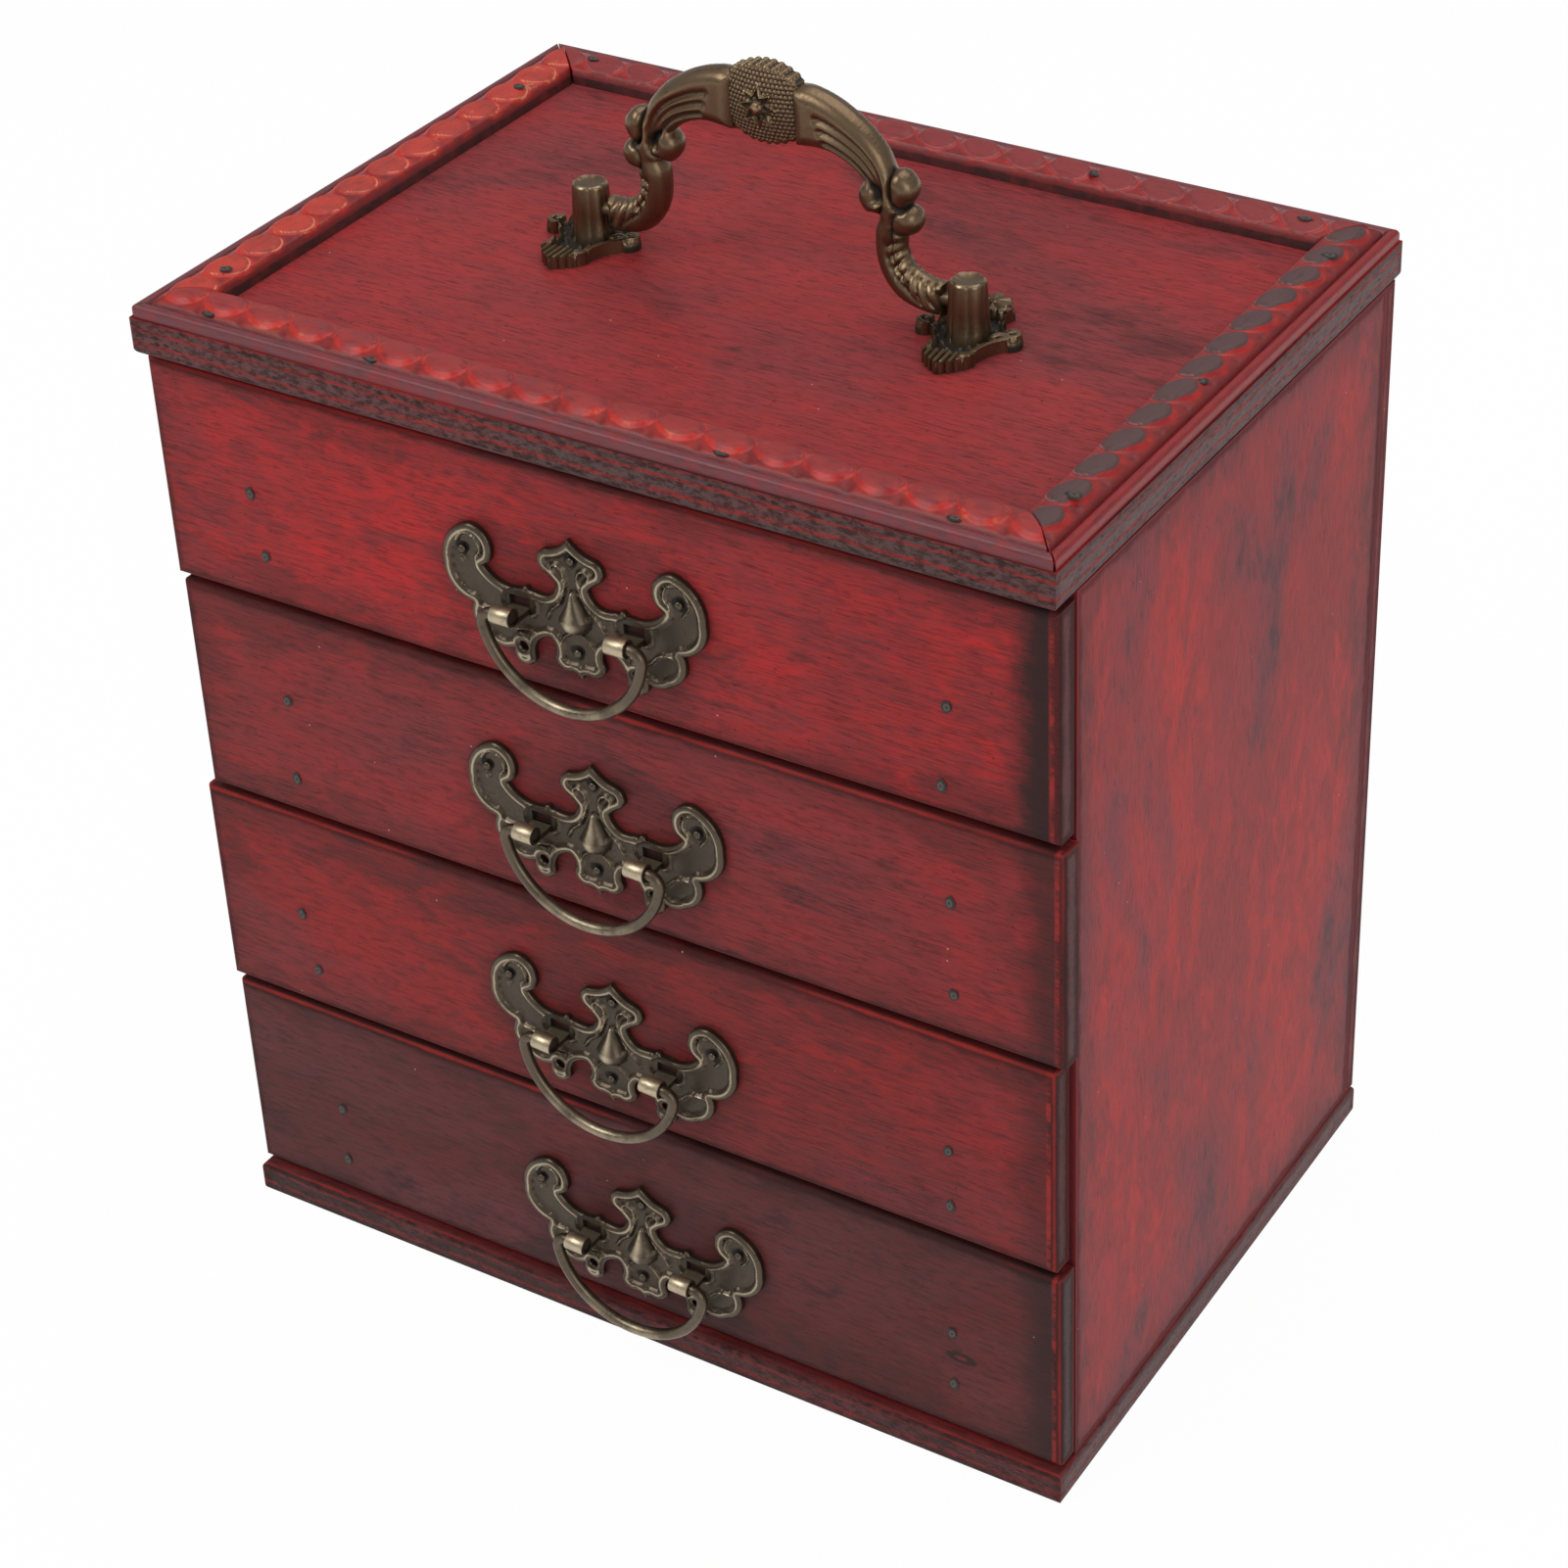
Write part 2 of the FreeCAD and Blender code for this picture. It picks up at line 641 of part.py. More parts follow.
def make_handle():
    """Cast handle: two scrolled arms on a bevelled boss with a star and a button, and a pin at each end."""
    place = ("handle_x", "handle_y", "pivot_height")
    handle = new_body("handle_bail", *place, value("handle_turn"))
    bevelled_pad(handle, "boss", boss_outline(), "boss_thick", "boss_taper")
    for name, side in (("left", -1), ("right", 1)):
        bevelled_pad(handle, f"{name}_arm", arm_outline(side), "arm_thick", "arm_taper")
        root = (f"{side} * (arm_end - pin_radius)", "0", "0")
        length = "pin_radius + arm_gap + pin_bite"
        rod_feature(handle, "Additive", f"{name}_pin", root, ALONG * side, "pin_radius", length)
    middle = value("(boss_top + boss_bottom) / 2")
    rays = draw(handle, "rays", "XZ_Plane", star_outline(middle))
    pad(handle, "star", rays, "boss_thick + 2 * star_rise", midplane=True)
    button = closed(regular(value("star_radius / 4"), 0, middle))
    button_lines = draw(handle, "button_outline", "XZ_Plane", button)
    pad(handle, "button", button_lines, "boss_thick + 2 * button_rise", midplane=True)


# Quarter of a foot's outline, from its front tip round to its side one
DRAWN_FOOT_LONG = 31
DRAWN_FOOT_WIDE = 21.6
FOOT_TIP = (0, -15.5)
FOOT_EDGE = (
    ((2.9, -13.6), (5.2, -10.2)),
    ((4.4, -7.6),),
    ((5.6, -4), (7.4, -1.4)),
    ((9.9, -1.8), (10.8, 0)),
)
# Quarter of the recess about the post, inside the raised border
FOOT_RECESS = ((0, -10.2), (3.2, -8.4), (4, -4.4), (5.8, 0))
POST_SIDES = 6
# Which foot, on which side, and how far it has turned about its screw
FEET = (("left", -1, 1.6), ("right", 1, 7.6))


def on_foot(point):
    """Scale a drawn point to the foot's length and width."""
    x, y = point
    return Vector(x * value("foot_wide") / DRAWN_FOOT_WIDE, y * value("foot_long") / DRAWN_FOOT_LONG, 0)


def all_quarters(quarter):
    """Closed outline whose four quarters are alike, from the one between its front and its right tip."""
    half = quarter + [Vector(point.x, -point.y, 0) for point in quarter[-2::-1]]
    return closed(half + [Vector(-point.x, point.y, 0) for point in half[-2:0:-1]])


def foot_outline():
    """Closed outline of a foot: a diamond with broad tips in front and behind and knobs at its sides."""
    drawn = [[on_foot(point) for point in stretch] for stretch in FOOT_EDGE]
    return all_quarters(along_stretches(on_foot(FOOT_TIP), drawn))


def make_foot(side, sign, turn):
    """Foot of the handle: a diamond plate with a recess about a tapered post that takes the pin."""
    place = (f"handle_x + {sign} * foot_across", f"handle_y + {sign} * foot_aside", "top_face")
    foot = new_body(f"handle_foot_{side}", *place, value("handle_turn"))
    floor = draw(foot, "floor_outline", "XY_Plane", foot_outline())
    recess = all_quarters([on_foot(point) for point in FOOT_RECESS])
    border = draw(foot, "border_outline", "XY_Plane", foot_outline() + recess)
    heights = ("foot_thick - foot_recess", "foot_thick")
    for name, sketch, high in zip(("floor", "border"), (floor, border), heights):
        sketch.AttachmentOffset.Rotation = Rotation(UP, turn)
        pad(foot, name, sketch, high)
    radius, step = value("post_radius"), 2 * math.pi / POST_SIDES
    angles = [step * (number + 0.5) for number in range(POST_SIDES)]
    polygon = closed([(radius * math.cos(angle), radius * math.sin(angle)) for angle in angles])
    post = pad(foot, "post", draw(foot, "post_outline", "XY_Plane", polygon), "post_height")
    bind(post, TaperAngle="-post_taper")
    doc.recompute()
    bore_end = (f"{sign} * (pin_bite - post_radius + pin_end_gap)", "0", "handle_lift")
    depth = "pin_bite + pin_end_gap + post_radius"
    rod_feature(foot, "Subtractive", "pin_bore", bore_end, ALONG * -sign, "pin_radius + pin_fit", depth)
    radius, depth = "screw_radius + pin_fit", "screw_bite + pin_end_gap"
    rod_feature(foot, "Subtractive", "screw_bore", ("0", "0", "0"), UP, radius, depth)


# Fasteners
HEAD_SIDES = 6
SHANK_SIDES = 4


def make_fastener(name, radius, head, head_thick, length):
    """One fastener to set copies of, its head's face at the origin and its shank down."""
    body = doc.addObject("PartDesign::Body", name)
    body.Label = name
    for kind, sides, reach, top, long in (
        ("head", HEAD_SIDES, head, "0", head_thick),
        ("shank", SHANK_SIDES, radius, f"-{head_thick}", f"{length} - {head_thick}"),
    ):
        piece = add_feature(body, "AdditivePrism", kind)
        piece.Polygon = sides
        bind(piece, Circumradius=reach, Height=long, z=f"{top} - ({long})")
    doc.recompute()
    return body


def set_copies(name, fastener, places):
    """Set copies of a fastener as one sub-part, each at a point and with its head facing a way."""
    copies = []
    for point, way in places:
        spot = Placement(Vector(*point), Rotation(Vector(0, 0, 1), Vector(*way)))
        copy = fastener.Shape.copy()
        copy.Placement = spot
        copies.append(copy)
    group = doc.addObject("Part::Feature", name)
    group.Label = name
    group.Shape = Part.makeCompound(copies)
    parts.append(group)


# Nails through a moulding: which end they are nearer, how far from it, and how far in from the edge
MOULDING_NAILS = {
    "front": ((-1, 16.5, 3.6), (-1, 54.8, 3.6), (1, 68.7, 3.6), (1, 21.2, 3.6)),
    "back": ((-1, 15.2, 8), (1, 62.9, 8), (1, 16.7, 8)),
    "left": ((-1, 17.8, 8.7), (1, 26.9, 8.7)),
    "right": ((-1, 17.6, 5.7), (-1, 66, 5.7), (1, 20.6, 5.7)),
}


def cushion_height(inset):
    """Height of the cushion's surface at a distance in from the moulding's outer edge."""
    curve = Part.Arc(*cushion_arc()).toShape().Curve
    return curve.Center.y + math.sqrt(curve.Radius ** 2 - (inset - curve.Center.x) ** 2)


def moulding_nail_places():
    """Points where brads go down through the mouldings, just under the cushion's surface."""
    half_wide = value("plate_width / 2 - moulding_inset")
    half_deep = value("top_depth / 2 - moulding_inset")
    places = []
    for side, nails in MOULDING_NAILS.items():
        for end, distance, inset in nails:
            height = value("top_face") + cushion_height(inset)
            if side in ("front", "back"):
                across = -1 if side == "front" else 1
                point = (end * (half_wide - distance), across * (half_deep - inset), height)
            else:
                across = -1 if side == "left" else 1
                point = (across * (half_wide - inset), end * (half_deep - distance), height)
            places.append((point, (0, 0, 1)))
    return places


def case_nail_places():
    """Nails through the base, the top and the back into the side panels' edges."""
    places = []
    for x_sign in (-1, 1):
        x = x_sign * value("inner_half + side_thick / 2")
        for y in (value("side_front + nail_inset"), value("back_inside - nail_inset")):
            places.append(((x, y, value("nail_sunk")), (0, 0, -1)))
            places.append(((x, y, value("top_face - nail_sunk")), (0, 0, 1)))
        low, high = value("base_thick + nail_inset"), value("top_under - nail_inset")
        for z in (low, (low + high) / 2, high):
            places.append(((x, value("base_depth / 2 - nail_sunk"), z), (0, 1, 0)))
    return places


def drawer_nail_places(drawer):
    """Nails through the front and the walls, and up through the bottom into the back."""
    places = []
    front_bottom = value(f"{compartment(drawer)} + front_gap")
    under = value(f"{compartment(drawer)} + slide_lift")
    wall_middle = value("wall_inside + drawer_wall / 2")
    for number, (drift, height) in enumerate(drawer.nails):
        x_sign = -1 if number < 2 else 1
        point = (x_sign * wall_middle + drift, value("front_face - nail_proud"), front_bottom + height)
        places.append((point, (0, -1, 0)))
    into_back = value("box_rear - drawer_back_thick / 2")
    for x_sign in (-1, 1):
        side_x, side_z = x_sign * value("box_half - nail_sunk"), under + value("drawer_height * 0.6")
        places.append(((side_x, into_back, side_z), (x_sign, 0, 0)))
        bottom_x = x_sign * value("wall_inside / 2")
        places.append(((bottom_x, into_back, under + value("floor_height + nail_sunk")), (0, 0, -1)))
    return places


def make_fasteners(plates):
    """All nails, brads, tacks and screws, grouped by the piece or pieces that they hold."""
    nail = make_fastener("nail", "nail_radius", "nail_head", "head_thick", "nail_length")
    brad = make_fastener("brad", "brad_radius", "brad_head", "head_thick", "brad_length")
    tack = make_fastener("tack", "tack_radius", "tack_head", "head_thick", "tack_length")
    screw_length = "(screw_head_thick + top_thick + screw_bite)"
    screw = make_fastener("screw", "screw_radius", "screw_head", "screw_head_thick", screw_length)
    set_copies("case_nails", nail, case_nail_places())
    set_copies("moulding_nails", brad, moulding_nail_places())
    for drawer, plate in zip(DRAWERS, plates):
        set_copies(f"drawer_{drawer.number}_nails", nail, drawer_nail_places(drawer))
        face = -value("pull_thick + head_thick")
        spots = [on_plate(point) for point in TACKS]
        heads = [plate.Placement.multVec(Vector(spot.x, face, spot.y)) for spot in spots]
        set_copies(f"pull_{drawer.number}_pins", tack, [(head, (0, -1, 0)) for head in heads])
    feet = []
    for sign in "-+":
        feet.append((value(f"handle_x {sign} foot_across"), value(f"handle_y {sign} foot_aside")))
    below = value("top_under - screw_head_thick")
    set_copies("handle_screws", screw, [((x, y, below), (0, 0, -1)) for x, y in feet])


def write_parts():
    """Check that every object came out whole, then write each sub-part to its file."""
    doc.recompute()
    for thing in doc.Objects:
        if "Invalid" in thing.State or "Error" in thing.State:
            raise ValueError(f"{thing.Label} failed: {thing.State}")
    for part in parts:
        if part.Shape.isNull() or not part.Shape.isValid() or not part.Shape.Solids:
            raise ValueError(f"{part.Label} has no whole shape")
    os.makedirs("parts", exist_ok=True)
    for part in parts:
        part.Shape.exportStep(f"parts/{part.Label}.step")
    print(len(parts), "sub-parts written")


make_plates()
make_sides()
make_back_and_shelves()
make_mouldings()
plates = []
for drawer in DRAWERS:
    make_drawer(drawer)
    plates.append(make_plate(drawer))
    make_bail(drawer)
make_handle()
for side, sign, drift in FEET:
    make_foot(side, sign, drift)
make_fasteners(plates)
write_parts()
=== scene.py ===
"""Looks of the jewelry box: stained wood, carved mouldings and cast fittings, on the fixed frame."""

import json
import logging
import math
from dataclasses import dataclass, field, replace
from enum import Enum
from typing import Callable, Sequence

import bmesh
import bpy
import numpy as np
from mathutils import Matrix, Vector
from mathutils.geometry import delaunay_2d_cdt


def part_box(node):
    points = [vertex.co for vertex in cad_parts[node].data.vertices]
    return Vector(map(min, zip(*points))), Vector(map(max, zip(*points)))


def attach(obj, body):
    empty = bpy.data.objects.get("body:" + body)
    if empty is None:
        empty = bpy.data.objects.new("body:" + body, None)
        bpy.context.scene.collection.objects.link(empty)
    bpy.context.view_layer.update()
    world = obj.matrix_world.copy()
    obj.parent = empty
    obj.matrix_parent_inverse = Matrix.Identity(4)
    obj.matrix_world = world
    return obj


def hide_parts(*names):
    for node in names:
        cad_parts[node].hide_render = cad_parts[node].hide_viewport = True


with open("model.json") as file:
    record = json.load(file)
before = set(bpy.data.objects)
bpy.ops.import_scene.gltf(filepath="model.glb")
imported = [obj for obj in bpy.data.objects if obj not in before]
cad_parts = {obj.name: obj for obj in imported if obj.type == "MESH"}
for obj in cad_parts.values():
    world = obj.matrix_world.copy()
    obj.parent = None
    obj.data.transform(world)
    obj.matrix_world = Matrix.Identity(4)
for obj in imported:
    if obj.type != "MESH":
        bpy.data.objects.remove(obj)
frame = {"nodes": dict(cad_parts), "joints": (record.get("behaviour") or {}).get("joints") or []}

log = logging.getLogger("jewelry_box")

MM = 0.001
FRAME_PIXELS = 1601
RELIEF = "relief"
TONE = "tone"
Points = np.ndarray
Spread = Points | float
Paint = tuple[float, float, float]


def paint(red: int, green: int, blue: int) -> Paint:
    """Turn a colour as seen on a screen, 0 to 255, into the light that a shader reads.

    Args:
        red: Red as shown.
        green: Green as shown.
        blue: Blue as shown.

    Returns:
        The three linear values.
    """
    shown = (red / 255, green / 255, blue / 255)
    return tuple(c / 12.92 if c <= 0.04045 else ((c + 0.055) / 1.055) ** 2.4 for c in shown)


def find_joint(name: str) -> dict:
    """Find a joint of the frame by its name."""
    return next(joint for joint in frame["joints"] if joint["name"] == name)


def add_object(name: str, content: bpy.types.ID) -> bpy.types.Object:
    """Make an object of a mesh, a lamp or a camera, in the scene."""
    piece = bpy.data.objects.new(name, content)
    bpy.context.scene.collection.objects.link(piece)
    return piece


class Grain(Enum):
    """Way that the fibres of a board run."""

    ACROSS = 0
    DEPTH = 1
    UP = 2


def operator(kind: str, swapped: bool = False) -> Callable[["Wire", "Wire | float"], "Wire"]:
    """Make the method behind one sign, or word, of the sums.

    Args:
        kind: Name of the operation.
        swapped: Whether the wire stands behind the sign.

    Returns:
        The method.
    """

    def apply(wire: "Wire", other: "Wire | float") -> "Wire":
        """Join the wire and the other value, in their order."""
        return wire.math(kind, other, wire) if swapped else wire.math(kind, wire, other)

    return apply


class Wire:
    """One output of a material's nodes, which takes part in Python sums."""

    def __init__(self, recipe: "Recipe", socket: bpy.types.NodeSocket) -> None:
        """Keep the recipe that the output belongs to, and the output."""
        self.recipe = recipe
        self.socket = socket

    def math(self, operation: str, *values: "Wire | float") -> "Wire":
        """Add one Math node.

        Args:
            operation: Name of the operation.
            values: Its inputs in order.

        Returns:
            The node's result.
        """
        sockets = dict(enumerate(values))
        return self.recipe.node("ShaderNodeMath", {"operation": operation}, sockets)

    __add__, __radd__ = operator("ADD"), operator("ADD", swapped=True)
    __sub__, __rsub__ = operator("SUBTRACT"), operator("SUBTRACT", swapped=True)
    __mul__, __rmul__ = operator("MULTIPLY"), operator("MULTIPLY", swapped=True)
    __truediv__, __pow__ = operator("DIVIDE"), operator("POWER")
    least, most = operator("MINIMUM"), operator("MAXIMUM")

    def __abs__(self) -> "Wire":
        """Size without its sign."""
        return self.math("ABSOLUTE", self)

    def beside(self, name: str) -> "Wire":
        """Take another output of the same node."""
        return Wire(self.recipe, self.socket.node.outputs[name])

    def rise(self, low: float, high: float) -> "Wire":
        """Go smoothly from 0 at one level to 1 at another, which may be the lower one.

        Args:
            low: Level that gives 0.
            high: Level that gives 1.

        Returns:
            The share, from 0 to 1.
        """
        if low > high:
            return 1 - self.rise(high, low)
        settings = {"interpolation_type": "SMOOTHSTEP", "clamp": True}
        sockets = {0: self, 1: low, 2: high, 3: 0.0, 4: 1.0}
        return self.recipe.node("ShaderNodeMapRange", settings, sockets)


class Recipe:
    """A material under way: its node tree, and short names for the nodes that finishes use."""

    def __init__(self, name: str) -> None:
        """Start a material of that name with nothing but its output."""
        self.material = bpy.data.materials.new(name)
        self.material.use_nodes = True
        self.tree = self.material.node_tree
        self.tree.nodes.clear()
        self.output = self.tree.nodes.new("ShaderNodeOutputMaterial")

    @classmethod
    def reopen(cls, owner: bpy.types.Material | bpy.types.World) -> "Recipe":
        """Go on with the nodes that a material or a world has."""
        recipe = cls.__new__(cls)
        recipe.material, recipe.tree = owner, owner.node_tree
        recipe.output = next(node for node in recipe.tree.nodes if node.type.startswith("OUTPUT"))
        return recipe

    def node(self, kind: str, settings: dict, sockets: dict, out: int | str = 0) -> Wire:
        """Add a node of any type.

        Args:
            kind: Type of the node.
            settings: Its settings, which are set first; stops are a ramp's places and colours.
            sockets: Values or wires for its inputs, by number or name.
            out: Output to hand back.

        Returns:
            That output.
        """
        node = self.tree.nodes.new(kind)
        for key, setting in settings.items():
            if key == "stops":
                self.set_stops(node.color_ramp, setting)
            else:
                setattr(node, key, setting)
        for key, content in sockets.items():
            if isinstance(content, Wire):
                self.tree.links.new(content.socket, node.inputs[key])
            elif isinstance(content, tuple) and len(content) == 3 and node.inputs[key].type == "RGBA":
                node.inputs[key].default_value = (*content, 1.0)
            else:
                node.inputs[key].default_value = content
        return Wire(self, node.outputs[out])

    @staticmethod
    def set_stops(ramp: bpy.types.ColorRamp, stops: Sequence[tuple[float, Paint]]) -> None:
        """Give a ramp its stops.

        Args:
            ramp: The ramp, which starts with two stops.
            stops: Places and colours in order.
        """
        while len(ramp.elements) < len(stops):
            ramp.elements.new(0.5)
        for element, (place, colour) in zip(ramp.elements, stops):
            element.position = place
            element.color = (*colour, 1.0)

    def place(self, scale: Sequence[float] = (1, 1, 1), shift: Sequence[float] = (0, 0, 0)) -> Wire:
        """Point on the piece at rest, in metres, stretched and moved.

        Args:
            scale: Stretch along each axis.
            shift: Move along each axis, after the stretch.

        Returns:
            The point.
        """
        point = self.node("ShaderNodeTexCoord", {}, {}, "Object")
        sockets = {0: point, 1: scale, 2: shift}
        return self.node("ShaderNodeVectorMath", {"operation": "MULTIPLY_ADD"}, sockets)

    def along(self, grain: Grain, pace: float, shift: Sequence[float]) -> Wire:
        """Point on the piece whose coordinate along the grain changes at a slower pace."""
        return self.place(tuple(pace if number == grain.value else 1.0 for number in range(3)), shift)

    def facing(self) -> Wire:
        """Way that the surface looks, on the piece at rest."""
        return self.node("ShaderNodeTexCoord", {}, {}, "Normal")

    def stored(self, name: str) -> Wire:
        """Value that the mesh keeps under a name at each corner."""
        return self.node("ShaderNodeAttribute", {"attribute_name": name}, {}, "Fac")

    def axis(self, point: Wire, number: int) -> Wire:
        """Take one coordinate of a point."""
        return self.node("ShaderNodeSeparateXYZ", {}, {0: point}, number)

    def noise(
        self, point: Wire, scale: float, detail: float, rough: float, bend: float = 0.0
    ) -> Wire:
        """Cloudy noise from 0 to 1.

        Args:
            point: Where it is read.
            scale: How fine it is.
            detail: Number of finer layers.
            rough: Strength of the finer layers.
            bend: How far it is warped.

        Returns:
            Its value.
        """
        sockets = {"Vector": point, "Scale": scale, "Detail": detail, "Roughness": rough}
        return self.node("ShaderNodeTexNoise", {}, {**sockets, "Distortion": bend})

    def specks(self, point: Wire, scale: float, size: float) -> Wire:
        """Small round specks, one here and there.

        Args:
            point: Where they are read.
            scale: How close they lie.
            size: How large each is, as a share of their spacing.

        Returns:
            1 on a speck and 0 off it.
        """
        near = self.node("ShaderNodeTexVoronoi", {}, {"Vector": point, "Scale": scale})
        chance = self.axis(near.beside("Color"), 0)
        return near.rise(size, size * 0.6) * chance.rise(0.55, 0.6)

    def mix(self, share: Wire | float, first: Wire | Paint, second: Wire | Paint) -> Wire:
        """Mix two colours.

        Args:
            share: How much of the second.
            first: Colour at 0.
            second: Colour at 1.

        Returns:
            The mixed colour.
        """
        return self.node("ShaderNodeMix", {"data_type": "RGBA"}, {0: share, 6: first, 7: second}, 2)

    def coats(self, colour: Wire | Paint, *layers: tuple[Wire | float, Wire | Paint]) -> Wire:
        """Lay coats over a colour, one after the other.

        Args:
            colour: Colour underneath.
            layers: How much of each coat shows, and its colour.

        Returns:
            The colour with its coats.
        """
        for share, coat in layers:
            colour = self.mix(share, colour, coat)
        return colour

    def bump(self, height: Wire, distance: float, strength: float = 1.0) -> Wire:
        """Tilt the surface by a height in the given distance, in metres."""
        sockets = {"Height": height, "Distance": distance, "Strength": strength}
        return self.node("ShaderNodeBump", {}, sockets)

    def finish(self, **sockets: Wire | float | Paint) -> bpy.types.Material:
        """End with one surface shader.

        Args:
            sockets: Its inputs, with a low line for each space in their names.

        Returns:
            The finished material.
        """
        named = {key.replace("_", " "): content for key, content in sockets.items()}
        shader = self.node("ShaderNodeBsdfPrincipled", {}, named)
        self.tree.links.new(shader.socket, self.output.inputs["Surface"])
        return self.material


@dataclass(frozen=True)
class StainedWood:
    """Red stain rubbed over plywood, with fibres, smoky patches, painted shade and a little wear along its
    edges, and painted highlights along its arrises.

    A board's own box gives the distance from its edges, so that the painted edge shade, the wear and the
    painted highlights follow them.
    """

    ground: Paint = paint(134, 42, 44)
    red: Paint = paint(184, 38, 38)
    dull: Paint = paint(106, 52, 56)
    dark: Paint = paint(42, 25, 24)
    # colour of the painted highlights along the arrises and by a front's right end
    bright: Paint = paint(196, 50, 42)
    pale: Paint = paint(190, 150, 145)
    ply: Paint = paint(84, 66, 64)
    ply_red: Paint = paint(136, 44, 42)
    bare: Paint = paint(104, 84, 86)
    vivid: float = 0.7
    smoke: float = 0.5
    end_band: float = 0.0
    # strength of the painted highlight along the arrises
    arris_highlight: float = 0.42
    streak: float = 1.0
    # strength of the painted shade that darkens each board towards its edges
    edge_shade: float = 0.36
    knots: tuple[tuple[float, float], ...] = ()
    pull: tuple[float, float] | None = None
    gloss: float = 0.46

    def board(self, name: str, box: tuple[Vector, Vector], grain: Grain, seed: float) -> bpy.types.Material:
        """Make the finish of one board.

        Args:
            name: Name of the material.
            box: Lowest and highest corner of the board.
            grain: Way that its fibres run.
            seed: Number that sets its own pattern apart.

        Returns:
            The material.
        """
        recipe = Recipe(name)
        shift = (seed * 1.7, seed * 2.3, seed * 0.9)
        long_grain, short_grain, broad_grain = (
            recipe.along(grain, pace, shift) for pace in (0.05, 0.2, 0.45)
        )
        plain = recipe.place((1, 1, 1), shift)
        fibre = recipe.noise(long_grain, 3600, 2, 0.5)
        fleck = recipe.noise(short_grain, 1500, 3, 0.65, 0.3)
        mottle = recipe.noise(broad_grain, 190, 5, 0.66, 0.5)
        cloud = recipe.noise(broad_grain, 30, 4, 0.6, 0.6)
        broad = recipe.noise(plain, 12, 2, 0.5)
        rubbing = recipe.noise(plain, 110, 4, 0.65)
        fresh = (mottle * 0.55 + fleck * 0.25 + broad * 0.4).rise(0.53, 0.68)
        smoky = (cloud * 0.65 + broad * 0.35 + mottle * 0.2).rise(0.56, 0.74)
        colour = recipe.coats(
            self.ground,
            (fresh * self.vivid, self.red),
            (smoky * self.smoke, self.dull),
            ((cloud * 0.55 + mottle * 0.45).rise(0.52, 0.68) * self.smoke * 0.85, self.dark),
            (fleck.rise(0.5, 0.66) * 0.42 * self.streak, self.dark),
            (fibre.rise(0.46, 0.36) * 0.35 * self.streak, self.red),
            (fibre.rise(0.52, 0.66) * 0.38 * self.streak, self.dark),
        )
        edge = self.from_edge(recipe, box)
        # painted shade: darker towards every edge, within about 11 mm, standing in for the shade of the
        # gaps between boards and under the top
        edge_shading = (edge + (cloud - 0.5) * (34 * MM) + (mottle - 0.5) * (16 * MM)).rise(11 * MM, 0.5 * MM)
        # painted shade in a narrow band along every edge; its higher roughness further down is wear
        worn = (edge + (rubbing - 0.5) * (3.2 * MM)).rise(2.4 * MM, 0.8 * MM)
        # painted highlight: a thin red line along the arrises
        arris_highlight = (edge + (rubbing - 0.5) * (0.8 * MM)).rise(0.9 * MM, 0.3 * MM)
        colour = recipe.coats(
            colour,
            (edge_shading * self.edge_shade, self.dark),
            (worn * 0.6, self.dark),
            (arris_highlight * broad.rise(0.42, 0.54) * self.arris_highlight, self.bright),
        )
        if self.end_band:
            colour = self.show_end(recipe, colour, box, rubbing + (fleck - 0.5) * 0.6)
        for x, z in self.knots:
            colour = self.show_knot(recipe, colour, x * MM, z * MM, rubbing)
        if self.pull:
            colour = self.show_pull_shade_and_dirt(recipe, colour, rubbing * 0.6 + mottle * 0.4)
        pores = recipe.specks(plain, 330, 0.12)
        dust = recipe.specks(recipe.place((1, 1, 1), (seed + 5, seed, seed + 3)), 170, 0.04)
        colour = recipe.coats(colour, (pores * 0.55, self.dark), (dust * 0.75, self.pale))
        height = fibre * 0.3 + fleck * 0.45 + rubbing * 0.25 - pores * 0.6
        rough = self.gloss + worn * 0.2 + (fleck - 0.5) * 0.25
        tilt = recipe.bump(height, 0.2 * MM, 0.45)
        return recipe.finish(Base_Color=colour, Roughness=rough, Normal=tilt, Specular_IOR_Level=0.14)

    @staticmethod
    def from_edge(recipe: Recipe, box: tuple[Vector, Vector]) -> Wire:
        """Distance of a point on the board's surface from its nearest edge, in metres."""
        place = recipe.place()
        gaps = []
        for number in range(3):
            low, high = box[0][number], box[1][number]
            here = recipe.axis(place, number)
            gaps.append(((high - low) / 2 - abs(here - (low + high) / 2)).most(0))
        least, most = gaps[0].least(gaps[1]), gaps[0].most(gaps[1])
        return least.most(most.least(gaps[2]))

    def show_end(self, recipe: Recipe, colour: Wire, box: tuple[Vector, Vector], fray: Wire) -> Wire:
        """Lay a dark frayed band and a painted highlight line by the board's right end, and darken its end
        grain.

        Args:
            recipe: Material under way.
            colour: Colour so far.
            box: Lowest and highest corner of the board.
            fray: Noise about 0.5 that frays the band's inner side.

        Returns:
            The colour with the band.
        """
        place = recipe.place()
        far = box[1][0] - recipe.axis(place, 0)
        band = far.rise(1.8 * MM, 2.4 * MM) * (far + (fray - 0.5) * (9 * MM)).rise(11 * MM, 4 * MM)
        # painted highlight: a thin line a millimetre or two in from the right end
        line = far.rise(0.9 * MM, 1.2 * MM) * far.rise(2.1 * MM, 1.7 * MM)
        end = abs(recipe.axis(recipe.facing(), 0)).rise(0.6, 0.9)
        return recipe.coats(
            colour,
            (band * self.end_band, self.dark),
            (line * fray.rise(0.42, 0.6) * 0.35, self.bright),
            (end * 0.6, self.dark),
        )

